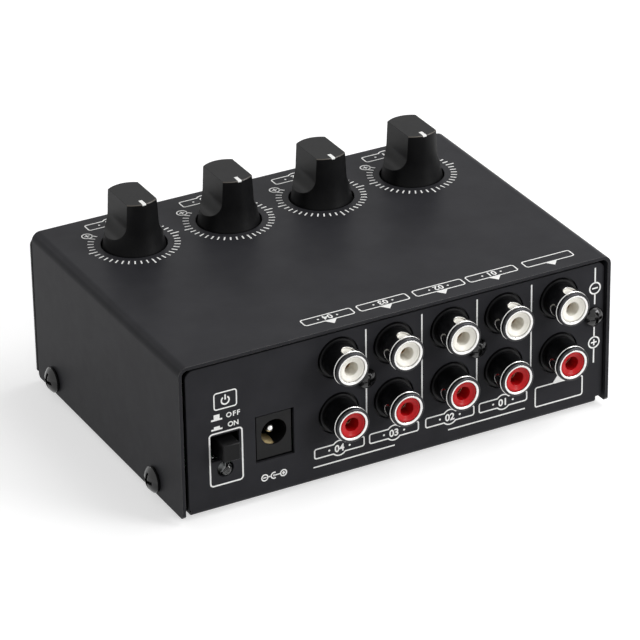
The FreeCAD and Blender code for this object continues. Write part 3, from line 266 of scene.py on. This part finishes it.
def roughen(tree, place, shader, low, high, size_mm):
    """Roughness that varies between two values over patches of a real size."""
    noise = add(
        tree, "ShaderNodeTexNoise", {"Scale": 1 / (size_mm * MM), "Detail": 4.0}, {"Vector": place})
    spread = add(
        tree, "ShaderNodeMapRange", {"To Min": low, "To Max": high},
        {"Value": noise.outputs["Fac"]})
    tree.links.new(spread.outputs["Result"], shader.inputs["Roughness"])


def grain(tree, place, shader, size_mm, height_mm, strength=1.0, edge_mm=0.0):
    """Surface relief of a real size and height, over edges rounded by a real radius."""
    noise = add(
        tree, "ShaderNodeTexNoise", {"Scale": 1 / (size_mm * MM), "Detail": 2.0}, {"Vector": place})
    bump = add(
        tree, "ShaderNodeBump", {"Strength": strength, "Distance": height_mm * MM},
        {"Height": noise.outputs["Fac"]})
    if edge_mm:
        edge = add(tree, "ShaderNodeBevel", {"samples": 4, "Radius": edge_mm * MM})
        tree.links.new(edge.outputs["Normal"], bump.inputs["Normal"])
    tree.links.new(bump.outputs["Normal"], shader.inputs["Normal"])


def floor_material():
    """Pale matt studio paper. The camera sees it lifted to white where no shadow falls."""
    material, tree, shader, _ = new_material("studio_paper")
    shader.inputs["Base Color"].default_value = linear("d2d2d2")
    shader.inputs["Roughness"].default_value = 0.9
    shader.inputs["Specular IOR Level"].default_value = 0.1
    shader.inputs["Emission Color"].default_value = (1, 1, 1, 1)
    lift = add(tree, "ShaderNodeMath", {"operation": "MULTIPLY"})
    tree.links.new(seen_directly(tree), lift.inputs[0])
    lift.inputs[1].default_value = FLOOR_LIFT
    tree.links.new(lift.outputs[0], shader.inputs["Emission Strength"])
    return material


def powder_coat():
    """Black polyester powder coat, baked on sheet steel: satin, with a very fine orange peel."""
    material, tree, shader, place = new_material("black_powder_coat")
    mottle(tree, place, shader, "29292c", "2e2e31", 9)
    shader.inputs["Specular IOR Level"].default_value = 0.065
    roughen(tree, place, shader, 0.38, 0.46, 2.5)
    grain(tree, place, shader, 0.45, 0.012, 0.6, 0.25)
    return material


def painted_edge_highlight():
    """Painted highlight on the cover's rounded cut edges: a light, faintly warm grey, glossier than the coat."""
    material, tree, shader, place = new_material("coat_painted_edge_highlight")
    mottle(tree, place, shader, "6a6967", "787775", 1.5)
    shader.inputs["Metallic"].default_value = 0.2
    roughen(tree, place, shader, 0.3, 0.42, 0.8)
    return material


def black_screw():
    """Black oxide on a cold-headed steel screw: near black, with the sharp wet glints of oil."""
    material, tree, shader, place = new_material("black_oxide_steel")
    mottle(tree, place, shader, "0c0c0d", "131314", 0.9)
    shader.inputs["Specular IOR Level"].default_value = 0.25
    shader.inputs["Coat Weight"].default_value = 0.55
    shader.inputs["Coat Roughness"].default_value = 0.04
    roughen(tree, place, shader, 0.14, 0.24, 0.5)
    grain(tree, place, shader, 0.2, 0.004, 0.5, 0.12)
    return material


def soft_rubber():
    """Moulded nitrile rubber: matt black, with a dusty bloom."""
    material, tree, shader, place = new_material("moulded_rubber")
    mottle(tree, place, shader, "151515", "1d1c1b", 1.5)
    roughen(tree, place, shader, 0.75, 0.92, 1.2)
    grain(tree, place, shader, 0.25, 0.02, 0.7)
    return material


def moulded_plastic(name, dark, pale, rough, edge_mm=0.15, specular=0.4):
    """Injection-moulded plastic: even colour, and the fine grain of a spark-eroded mould.

    The grain is drawn at 0.18 mm, coarser than the real one, so that it shows.
    """
    material, tree, shader, place = new_material(name)
    mottle(tree, place, shader, dark, pale, 3)
    shader.inputs["Specular IOR Level"].default_value = specular
    roughen(tree, place, shader, rough - 0.04, rough + 0.05, 0.8)
    grain(tree, place, shader, 0.18, 0.006, 0.5, edge_mm)
    return material


def plated_metal(name, dark, pale, low, high, edge_mm=0.1):
    """Thin plating over stamped or turned metal: mirror-like, dulled by faint handling marks."""
    material, tree, shader, place = new_material(name)
    mottle(tree, place, shader, dark, pale, 1.2)
    shader.inputs["Metallic"].default_value = 1.0
    roughen(tree, place, shader, low, high, 0.7)
    grain(tree, place, shader, 0.3, 0.003, 0.5, edge_mm)
    return material


WEAVE = 1.1


def laminate():
    """Green solder mask over woven glass laminate: glossy, and the weave just shows.

    The weave is drawn about twice as coarse as the real thread spacing, so that it shows.
    """
    material, tree, shader, place = new_material("solder_masked_glass_laminate")
    mottle(tree, place, shader, "0f4a25", "14562c", 6)
    weave = add(
        tree, "ShaderNodeTexWave", {"Scale": 1 / (2 * WEAVE * MM), "Distortion": 0.6},
        {"Vector": place})
    bump = add(
        tree, "ShaderNodeBump", {"Strength": 0.4, "Distance": 0.01 * MM},
        {"Height": weave.outputs["Fac"]})
    tree.links.new(bump.outputs["Normal"], shader.inputs["Normal"])
    roughen(tree, place, shader, 0.2, 0.32, 2)
    return material


def print_ink():
    """White screen-printing ink: matt and opaque, a little uneven."""
    material, tree, shader, place = new_material("screen_printed_ink")
    mottle(tree, place, shader, "f0f0ee", "f9f9f7", 0.4)
    roughen(tree, place, shader, 0.45, 0.6, 0.3)
    return material


def capacitor_sleeve():
    """Dark PVC film shrunk round a can: glossy, with soft wrinkles."""
    material, tree, shader, place = new_material("shrunk_pvc_film")
    mottle(tree, place, shader, "15171c", "1b1d24", 2)
    roughen(tree, place, shader, 0.24, 0.34, 1)
    grain(tree, place, shader, 1.2, 0.01, 0.5)
    return material


def chip_epoxy():
    """Moulded epoxy with silica filler: matt dark grey, finely specked."""
    material, tree, shader, place = new_material("moulded_epoxy")
    mottle(tree, place, shader, "17171a", "222226", 0.12)
    roughen(tree, place, shader, 0.5, 0.62, 0.3)
    return material


def clear_lens():
    """Cast clear epoxy of the indicator light: glossy, and its lead frame shows through."""
    material, tree, shader, place = new_material("cast_clear_epoxy")
    mottle(tree, place, shader, "b4b8ba", "bfc2c4", 1.0)
    shader.inputs["Transmission Weight"].default_value = 1.0
    shader.inputs["IOR"].default_value = 1.52
    roughen(tree, place, shader, 0.03, 0.08, 0.6)
    return material


MATERIALS = {
    "coat": powder_coat(),
    # Painted highlight for the rounded cut edges of the cover
    "edge": painted_edge_highlight(),
    "screw": black_screw(),
    "rubber": soft_rubber(),
    # ABS: deep black with a soft satin sheen, which the knobs get from their fine mould grain
    "knob": moulded_plastic("moulded_abs", "0c0c0d", "111112", 0.38, 0.15, 0.13),
    # Painted highlight on ABS: a fine warm grey line round the top edge of a knob, where light catches it
    "knob_rim_highlight": moulded_plastic("abs_painted_rim_highlight", "3a352f", "4c463e", 0.3, 0.0, 0.5),
    # Glass-filled nylon of connector housings: black, a little glossier than the knobs
    "black": moulded_plastic("moulded_black_nylon", "0d0d0e", "121213", 0.34, 0.15, 0.2),
    # Acetal: black and slightly waxy, with a smooth face
    "button": moulded_plastic("moulded_acetal", "0c0c0d", "101011", 0.3, 0.12, 0.16),
    # Polyethylene: warm white, smooth and softly glossy
    "white": moulded_plastic("moulded_white_polyethylene", "edeae0", "f5f2e9", 0.26),
    # Polyethylene: saturated red, smooth and softly glossy
    "red": moulded_plastic("moulded_red_polyethylene", "ae0d13", "bf151a", 0.24, 0.15, 0.2),
    # PVC of the ribbon cable: flat mid grey
    "vinyl": moulded_plastic("extruded_grey_pvc", "8a8a8c", "949496", 0.5),
    # Nylon of the pillars: ivory, slightly dull
    "nylon": moulded_plastic("moulded_natural_nylon", "d6d2c6", "e0dcd1", 0.4),
    # Nickel painted near black as painted dark reflection: a dark mirror, so the sleeves show only the brightest
    # reflections
    "barrel": plated_metal("nickel_painted_dark_reflection", "323234", "3e3e40", 0.3, 0.38),
    # Bright nickel: silver-white, a blurred mirror
    "nickel": plated_metal("bright_nickel_plate", "dedddb", "eeedeb", 0.2, 0.28),
    # Steel, turned or stamped and zinc-plated: mid grey with a broad gleam
    "steel": plated_metal("zinc_plated_steel", "8c8c8b", "a3a3a1", 0.25, 0.4),
    # Tinned brass of leads and terminals: pale grey, rather dull
    "tin": plated_metal("tinned_brass", "a5a5a3", "bcbcba", 0.3, 0.45),
    # Gold flash on contacts: yellow and bright
    "gold": plated_metal("gold_plate", "c49a4a", "dcb468", 0.18, 0.3),
    # Gold-washed stamped brass of the inlet's spring: dull, and its pale straw yellow, paler than the gold
    # contacts, is partly painted light falling into the inlet
    "spring_brass_painted_lighter": plated_metal("gold_brass_painted_lighter", "dcc48c", "f0dcae", 0.42, 0.55),
    # Phosphor bronze of the lining inside a socket: pinkish tan, fairly bright
    "bronze": plated_metal("rolled_phosphor_bronze", "c4ae96", "dcc8b0", 0.22, 0.32),
    "capacitor": capacitor_sleeve(),
    "epoxy": chip_epoxy(),
    "laminate": laminate(),
    "print": print_ink(),
    "lens": clear_lens(),
}


# Pieces

def mesh_piece(form, name, body, material, slot, *nodes):
    """An object from a bmesh in metres. It rides on a body and may stand for CAD nodes."""
    mesh = bpy.data.meshes.new(name)
    form.to_mesh(mesh)
    form.free()
    mesh.materials.append(MATERIALS[material])
    piece = bpy.data.objects.new(name, mesh)
    bpy.context.collection.objects.link(piece)
    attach(piece, body)
    if nodes:
        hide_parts(*nodes)
    return piece


def smooth(form, angle=SMOOTH_ANGLE):
    """Smooth shading, broken at edges sharper than the angle."""
    for face in form.faces:
        face.smooth = True
    for edge in form.edges:
        edge.smooth = len(edge.link_faces) == 2 and edge.calc_face_angle(0) < math.radians(angle)


def even_normals(piece):
    """Large flat faces keep flat shading beside narrow bevels."""
    modifier = piece.modifiers.new("even_normals", "WEIGHTED_NORMAL")
    modifier.keep_sharp = True
    modifier.weight = 80


def refine(node, body, material, slot, width, second=None, chosen=None, steps=2):
    """The CAD node's own form with each convex edge worn round by a real radius.

    The faces that are chosen take a second material.
    """
    form = bmesh.new()
    form.from_mesh(frame["nodes"][node].data)
    bmesh.ops.remove_doubles(form, verts=form.verts, dist=SAME_POINT * MM)
    bmesh.ops.dissolve_limit(
        form, angle_limit=math.radians(FLAT_ANGLE), verts=form.verts[:], edges=form.edges[:])
    corner = math.radians(CORNER_ANGLE)
    sharp = [
        edge for edge in form.edges
        if len(edge.link_faces) == 2 and edge.is_convex and edge.calc_face_angle(0) > corner]
    bmesh.ops.bevel(
        form, geom=sharp, offset=width * MM, segments=steps, profile=0.5, affect="EDGES",
        clamp_overlap=True)
    smooth(form)
    if second:
        for face in form.faces:
            face.material_index = int(chosen(face.calc_center_median() / MM, face.normal))
    piece = mesh_piece(form, node + "_detailed", body, material, slot, node)
    if second:
        piece.data.materials.append(MATERIALS[second])
    even_normals(piece)
    return piece


def arris_with_painted_highlight(middle, normal):
    """The rounded arris round the cover's cut edges at the front and rear, which takes a painted highlight."""
    near_edge = middle.y > REAR_EDGE - CUT_EDGE_DEPTH or middle.y < FRONT_EDGE + CUT_EDGE_DEPTH
    return near_edge and 0.2 < abs(normal.y) < 0.97


def slot_sides(middle, normal):
    """The bright cut sides of the slot and the tongue in a socket's sleeve, left in bright nickel where the rest
    of the sleeve is painted dark.
    """
    out = middle.y - REAR_FACE
    axis = Vector((
        min(JACK_X, key=lambda x: abs(x - middle.x)), middle.y,
        min((JACK_LOW, JACK_HIGH), key=lambda z: abs(z - middle.z))))
    arm = middle - axis
    sideways = abs(arm.normalized().dot(normal)) < 0.5
    return 2 < out < 6.3 and arm.length > SLEEVE_RADIUS - 0.45 and sideways


def knob_rim(middle, normal):
    """The faces round a knob's upper edge, which take the painted highlight."""
    return middle.z > KNOB_TOP - 0.3 and 0.2 < normal.z < 0.96


def lathe(form, profile, x, z, segments=64):
    """Turns an outline of radius and distance out from the rear panel round an axis along y."""
    rings = []
    for radius, out in profile:
        if radius:
            angles = [math.tau * i / segments for i in range(segments)]
            ring_places = [
                (x + radius * math.cos(a), REAR_FACE + out, z + radius * math.sin(a))
                for a in angles]
        else:
            ring_places = [(x, REAR_FACE + out, z)]
        rings.append([form.verts.new(Vector(place) * MM) for place in ring_places])
    closed = profile[0][0] and profile[-1][0]
    for i in range(len(rings) if closed else len(rings) - 1):
        one, two = rings[i], rings[(i + 1) % len(rings)]
        for k in range(segments):
            j = (k + 1) % segments
            corners = [one[k % len(one)], one[j % len(one)], two[j % len(two)], two[k % len(two)]]
            unique = list(dict.fromkeys(corners))
            form.faces.new(unique)


# Outlines of turned pieces: radius, and distance out from the rear panel
INSERT = [
    (1.3, -5.8), (3.4, -5.8), (3.4, 1.05), (3.7, 1.05), (3.7, 6.2), (3.3, 6.3),
    (3.04, 6.38), (2.98, 6.43), (2.9, 6.45), (2.68, 6.45), (2.6, 6.42), (2.55, 6.34),
    (2.49, 6.3), (1.8, 6.1), (1.69, 6.04), (1.65, 5.9), (1.65, 0), (1.3, 0)]
MOUTH = [
    (3.6, 6.52), (3.6, 6.8), (3.4, 6.8), (3.25, 6.77),
    (3.14, 6.7), (3.08, 6.61), (3.08, 6.54), (3.14, 6.5)]
BEAD = [
    (4.1 + 0.17 * math.cos(math.tau * i / 12), 5.7 + 0.17 * math.sin(math.tau * i / 12))
    for i in range(12)]
LINER = [(1.63, 2.8), (1.63, 0.1), (1.5, 0.1), (1.5, 2.74), (1.56, 2.84)]


def make_inserts():
    """Moulded inserts, a raised ring round a shallow dish, and the lining of each centre socket."""
    for name, material, slot, z in (
        ("jack_inserts_white", "white", "jack_white", JACK_HIGH),
        ("jack_inserts_red", "red", "jack_red", JACK_LOW),
    ):
        form = bmesh.new()
        lining = bmesh.new()
        for x in JACK_X:
            lathe(form, INSERT, x, z)
            lathe(lining, LINER, x, z, 48)
        for part in (form, lining):
            bmesh.ops.recalc_face_normals(part, faces=part.faces)
            smooth(part)
        even_normals(mesh_piece(form, name + "_turned", "case", material, slot, name))
        mesh_piece(lining, name + "_lining", "case", "bronze", "gold_pin")


def make_sleeve_mouths():
    """The rolled-in edge of each sleeve's mouth, and the bead pressed round the sleeve behind."""
    form = bmesh.new()
    for x in JACK_X:
        for z in (JACK_LOW, JACK_HIGH):
            lathe(form, MOUTH, x, z)
            lathe(form, BEAD, x, z)
    bmesh.ops.recalc_face_normals(form, faces=form.faces)
    smooth(form, 50)
    mesh_piece(form, "jack_sleeve_mouths", "case", "nickel", "jack_plate")


def make_light_inside():
    """The lead frame's cup on its post, and the post beside it, seen through the clear lens."""
    form = bmesh.new()
    out = LIGHT_TIP - REAR_FACE
    cup = [
        (0.42, out - 2.9), (0.78, out - 2.3), (0.86, out - 2.3), (0.86, out - 2.5),
        (0.62, out - 3.1), (0.62, out - 3.6), (0.3, out - 3.6), (0.3, out - 2.95)]
    cup_x = LIGHT_X + 0.35
    lathe(form, cup, cup_x, LIGHT_Z, 32)
    for x, width, reach in ((cup_x, 0.25, 3.3), (cup_x - 1.3, 0.2, 2.2)):
        post = bmesh.ops.create_cube(form, size=1)["verts"]
        for vertex in post:
            across, deep, up = vertex.co
            vertex.co = Vector((
                x + across * 2 * width,
                REAR_FACE + out - reach - 0.8 + deep * 1.6,
                LIGHT_Z + up * 0.5)) * MM
    bmesh.ops.recalc_face_normals(form, faces=form.faces)
    bmesh.ops.bevel(
        form, geom=form.edges[:], offset=0.03 * MM, segments=1, affect="EDGES", clamp_overlap=True)
    smooth(form)
    mesh_piece(form, "light_frame", "case", "steel", "tinned_lead")


# Printing. Each patch of ink is given in millimetres across and up on its own surface.

def on_top(across, up, height):
    return Vector((across, up, COVER_TOP + height)) * MM


def on_rear(across, up, height):
    return Vector((across, REAR_FACE + height, up)) * MM


def patch(form, place, outline):
    """A filled, slightly raised shape."""
    layers = [
        [form.verts.new(place(x, y, height)) for x, y in outline]
        for height in (INK_HIGH, INK_LOW)]
    form.faces.new(layers[0])
    form.faces.new(layers[1][::-1])
    for i in range(len(outline)):
        j = (i + 1) % len(outline)
        form.faces.new((layers[0][j], layers[0][i], layers[1][i], layers[1][j]))


def block(form, place, low_x, high_x, low_y, high_y):
    """A filled box."""
    patch(form, place, [(low_x, low_y), (high_x, low_y), (high_x, high_y), (low_x, high_y)])


def stroke(form, place, points, width, closed=False):
    """A line of ink along the points, mitred at its corners."""
    count = len(points)
    points = [Vector(point) for point in points]
    rims = []
    for i, point in enumerate(points):
        before = point - points[i - 1] if closed or i else points[1] - point
        after = points[(i + 1) % count] - point if closed or i < count - 1 else before
        before, after = before.normalized(), after.normalized()
        across = Vector((-before.y - after.y, before.x + after.x)).normalized()
        reach = width / 2 / max(0.5, across.dot(Vector((-before.y, before.x))))
        rims.append([
            form.verts.new(place(*(point + across * side * reach), height))
            for side, height in ((1, INK_HIGH), (-1, INK_HIGH), (-1, INK_LOW), (1, INK_LOW))])
    for i in range(count if closed else count - 1):
        one, two = rims[i], rims[(i + 1) % count]
        for k in range(4):
            form.faces.new((one[k], one[(k + 1) % 4], two[(k + 1) % 4], two[k]))
    if not closed:
        form.faces.new(rims[0][::-1])
        form.faces.new(rims[-1])


def arc(x, y, radius, start, end, steps=24):
    angles = [math.radians(start + (end - start) * i / steps) for i in range(steps + 1)]
    return [(x + radius * math.cos(angle), y + radius * math.sin(angle)) for angle in angles]


def ring(form, place, x, y, radius, width):
    stroke(form, place, arc(x, y, radius, 0, 360, 40)[:-1], width, closed=True)


def round_box(form, place, low_x, high_x, low_y, high_y, corner, width):
    points = []
    for x, y, start in (
        (high_x - corner, high_y - corner, 0), (low_x + corner, high_y - corner, 90),
        (low_x + corner, low_y + corner, 180), (high_x - corner, low_y + corner, 270),
    ):
        points += arc(x, y, corner, start, start + 90, 6)
    stroke(form, place, points, width, closed=True)


def badge(form, place, x, y, half_width, half_height, bulge, width):
    """A flat box whose long sides swell round a circle in its middle."""
    run = math.degrees(math.asin(half_height / bulge))
    points = []
    corner = 0.5
    points += arc(x + half_width - corner, y + half_height - corner, corner, 0, 90, 5)
    points += arc(x, y, bulge, run, 180 - run, 14)
    points += arc(x - half_width + corner, y + half_height - corner, corner, 90, 180, 5)
    points += arc(x - half_width + corner, y - half_height + corner, corner, 180, 270, 5)
    points += arc(x, y, bulge, 180 + run, 360 - run, 14)
    points += arc(x + half_width - corner, y - half_height + corner, corner, 270, 360, 5)
    stroke(form, place, points, width, closed=True)


def lettering(form, place, text, x, y, height, weight, mirror=1, spacing=1.0):
    """Plain characters centred on a point, as raised ink. Their faces are tagged."""
    curve = bpy.data.curves.new("characters", "FONT")
    curve.body = text
    curve.align_x = "CENTER"
    curve.size = height / 0.73
    curve.space_character = spacing
    curve.offset = weight
    curve.extrude = (INK_HIGH - INK_LOW) / 2
    curve.resolution_u = 4
    holder = bpy.data.objects.new("characters", curve)
    mesh = bpy.data.meshes.new_from_object(holder)
    first, first_face = len(form.verts), len(form.faces)
    form.from_mesh(mesh)
    form.verts.ensure_lookup_table()
    form.faces.ensure_lookup_table()
    for face in form.faces[first_face:]:
        face.tag = True
    middle = (INK_HIGH + INK_LOW) / 2
    for vertex in form.verts[first:]:
        across, up, out = vertex.co
        vertex.co = place(x + across * mirror, y + up - height / 2, middle + out)
    bpy.data.objects.remove(holder)
    bpy.data.meshes.remove(mesh)
    bpy.data.curves.remove(curve)


def dot(form, place, x, y, radius):
    patch(form, place, arc(x, y, radius, 0, 360, 14)[:-1])


def sign(form, place, x, y, radius, width, plus):
    """A ringed plus or minus."""
    ring(form, place, x, y, radius, width)
    reach = radius * 0.55
    bar = width * 0.5
    block(form, place, x - reach, x + reach, y - bar, y + bar)
    if plus:
        for low, high in ((bar, reach), (-reach, -bar)):
            block(form, place, x - bar, x + bar, y + low, y + high)


TICK_STEP = 8.2
TICK_START = 9.3
TICK_END = 10.75
LONG_TICK_END = 11.45


def ticks(form, x):
    """Thirty-five marks round a dial, the middle one and one on each side of it longer."""
    for i in range(-17, 18):
        angle = math.radians(TICK_STEP * i)
        far = LONG_TICK_END if i in (-11, 0, 11) else TICK_END
        points = [
            (x + r * math.sin(angle), KNOB_Y + r * math.cos(angle)) for r in (TICK_START, far)]
        stroke(form, on_top, points, TICK_RULE)


def number_label(form, place, x, y, number, frame_sizes, letter_sizes, dot_sizes, mirror):
    """A plain number in a badge, between two dots."""
    badge(form, place, x, y, *frame_sizes)
    lettering(form, place, f"0{number}", x, y, *letter_sizes, mirror)
    reach, radius = dot_sizes
    for side in (-reach, reach):
        dot(form, place, x + side, y, radius)


def print_top():
    """Scales, signs and numbers round the dials, and the numbers over the sockets."""
    form = bmesh.new()
    for number, x in enumerate(KNOB_X, 1):
        ticks(form, x)
        across, up = DIAL_SIGN
        for side, plus in ((across, True), (-across, False)):
            sign(form, on_top, x + side, KNOB_Y + up, 1.2, FINE_RULE, plus)
        number_label(
            form, on_top, x, DIAL_LABEL_Y, number,
            (LABEL_HALF, 1.4, 2.1, FINE_RULE), (1.9, 0.06), (3.1, 0.25), 1)
    # A label over each column of sockets, with a triangle that points to it. The input's, which
    # comes first, has no number.
    y = TOP_LABEL_Y
    for number, x in enumerate(TOP_LABEL_X):
        round_box(form, on_top, x - LABEL_HALF, x + LABEL_HALF, y - 1.4, y + 1.4, 0.6, FINE_RULE)
        patch(form, on_top, [(x - 1.4, y + 1.6), (x + 1.4, y + 1.6), (x, y + 3.3)])
        if number:
            lettering(form, on_top, f"0{number}", x, y, 1.8, 0.05)
            for side in (-2.4, 2.4):
                dot(form, on_top, x + side, y, 0.25)
    mesh_piece(form, "top_print", "case", "print", "pointer_white")


def print_switch(form):
    """The frame round the button and the light, the power sign, and OFF and ON.

    Beside each word is a sign of the button from the side: out for OFF, and in for ON.
    """
    round_box(form, on_rear, 39.45, 47.5, 7.35, 20.5, 0.8, RULE)
    round_box(form, on_rear, 40.6, 46.1, 26.35, 30.4, 0.6, FINE_RULE)
    x, z = POWER_SIGN
    stroke(form, on_rear, arc(x, z, 0.95, 125, 415, 26), RULE)
    stroke(form, on_rear, [(x, z + 0.15), (x, z + 1.45)], RULE)
    for low, rise, word, spacing in ((23.7, 1.5, "OFF", 1.25), (21.3, 0.95, "ON", 1.0)):
        step = low + 0.42
        block(form, on_rear, 44.2, 46.95, low, step)
        block(form, on_rear, 44.85, 46.3, step, low + rise)
        lettering(form, on_rear, word, 41.55, low + 0.75, 1.25, 0.04, -1, spacing)


def print_polarity(form):
    """A minus and a plus joined to the ring and the dot of a centre-positive inlet."""
    x, z = INLET_SIGN
    sign(form, on_rear, x + 2.35, z, 0.75, FINE_RULE, False)
    sign(form, on_rear, x - 2.35, z, 0.75, FINE_RULE, True)
    stroke(form, on_rear, arc(x, z, 0.75, -120, 120, 14), FINE_RULE)
    for start, end in ((1.55, 0.75), (0, -1.55)):
        stroke(form, on_rear, [(x + start, z), (x + end, z)], FINE_RULE)
    dot(form, on_rear, x, z, 0.28)


def print_rear():
    """Frames, rules, numbers and signs of the rear panel."""
    form = bmesh.new()
    print_switch(form)
    print_polarity(form)
    for number, x in zip((4, 3, 2, 1), JACK_X):
        number_label(
            form, on_rear, x, REAR_LABEL_Z, number,
            (6.3, 1.2, 1.9, LABEL_RULE), (1.8, 0.07), (2.6, 0.26), -1)
    for start, end in ((21.85, 1.05), (-12.85, -33.15)):
        stroke(form, on_rear, [(start, LABEL_PAIR_RULE_Z), (end, LABEL_PAIR_RULE_Z)], LABEL_RULE)
    # The input's frame, and the triangle that points up to its sockets
    round_box(form, on_rear, -48.5, -35.9, 4.5, 9.5, 0.5, LABEL_RULE)
    patch(form, on_rear, [(-44.4, 9.7), (-40.6, 9.7), (-42.5, 12.2)])
    for x in COLUMN_RULE_X:
        stroke(form, on_rear, [(x, COLUMN_RULE_TOP), (x, COLUMN_RULE_END)], RULE)
    # The rule beside the input leaves room for its two signs and the screw
    for top, bottom in (
        (COLUMN_RULE_TOP, 32.7), (29.9, 27.2), (21.3, 18.7), (15.9, COLUMN_RULE_END),
    ):
        stroke(form, on_rear, [(SIDE_RULE_X, top), (SIDE_RULE_X, bottom)], RULE)
    sign(form, on_rear, SIDE_RULE_X, 31.3, 1.4, RULE, False)
    sign(form, on_rear, SIDE_RULE_X, 17.3, 1.4, RULE, True)
    # Across and up run the other way round on the rear, so drawn ink comes out facing inward
    bmesh.ops.reverse_faces(form, faces=[face for face in form.faces if not face.tag])
    mesh_piece(form, "rear_print", "case", "print", "pointer_white")


NODE_MATERIALS = {
    "steel": "pot_shaft_1 pot_shaft_2 pot_shaft_3 pot_shaft_4 pot_cases pot_bushings "
             "board_standoffs board_screws regulator_plate",
    "print": "knob_pointer_1 knob_pointer_2 knob_pointer_3 knob_pointer_4",
    "tin": "pot_terminals jack_terminals inlet_terminals switch_terminals light_leads "
           "capacitor_leads chip_leads regulator_leads",
    "laminate": "control_board main_board",
    "black": "header_bases ribbon_plugs switch_housing switch_plunger",
    "epoxy": "amplifier_chips voltage_regulator chip_resistors protection_diode",
    "capacitor": "filter_capacitors coupling_capacitors",
    "gold": "header_pins jack_contacts",
    # The inlet's spring is painted paler than the gold contacts, as light falling into the inlet
    "spring_brass_painted_lighter": "inlet_spring",
    "vinyl": "ribbon_cable",
    "nickel": "inlet_contact",
    "lens": "light_lens",
    "nylon": "control_pillars",
}

# Node, material, material slot, the radius its edges are worn to, and the chosen faces' material
REFINED = [
    ("cover", "coat", "case_paint", 0.16, "edge", arris_with_painted_highlight),
    ("chassis", "coat", "case_paint", 0.14),
    ("cover_screws", "screw", "black_screw", 0.12),
    ("panel_screws", "screw", "black_screw", 0.12),
    ("rubber_feet", "rubber", "foot_rubber", 0.3),
    ("jack_block_34", "black", "jack_black", 0.15),
    ("jack_block_12", "black", "jack_black", 0.15),
    ("jack_block_in", "black", "jack_black", 0.15),
    # The sleeves' nickel is painted near black as dark reflection, save the sides of their slots
    ("jack_sleeves", "barrel", "jack_plate", 0.06, "nickel", slot_sides),
    ("inlet_housing", "black", "black_plastic", 0.12),
]


def finish_nodes():
    for key, names in NODE_MATERIALS.items():
        for name in names.split():
            node = frame["nodes"][name]
            node.data.materials.clear()
            node.data.materials.append(MATERIALS[key])
    for name, material, slot, *rest in REFINED:
        refine(name, "case", material, slot, *rest)
    for number in range(1, 5):
        # Each knob's upper edge takes a painted highlight
        refine(
            f"knob_{number}", f"dial_{number}", "knob", "knob_plastic", 0.14, "knob_rim_highlight", knob_rim,
            steps=3)
    refine("power_button", "button", "button", "button_black", 0.1)


def make_return_spring():
    """The button's return spring, on its own copy of the mesh. The real spring shortens as the button goes in."""
    spring = refine("switch_spring", "case", "steel", "spring_steel", 0.02)
    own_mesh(spring)


make_camera()
make_studio()
finish_nodes()
make_return_spring()
make_inserts()
make_sleeve_mouths()
make_light_inside()
print_top()
print_rear()
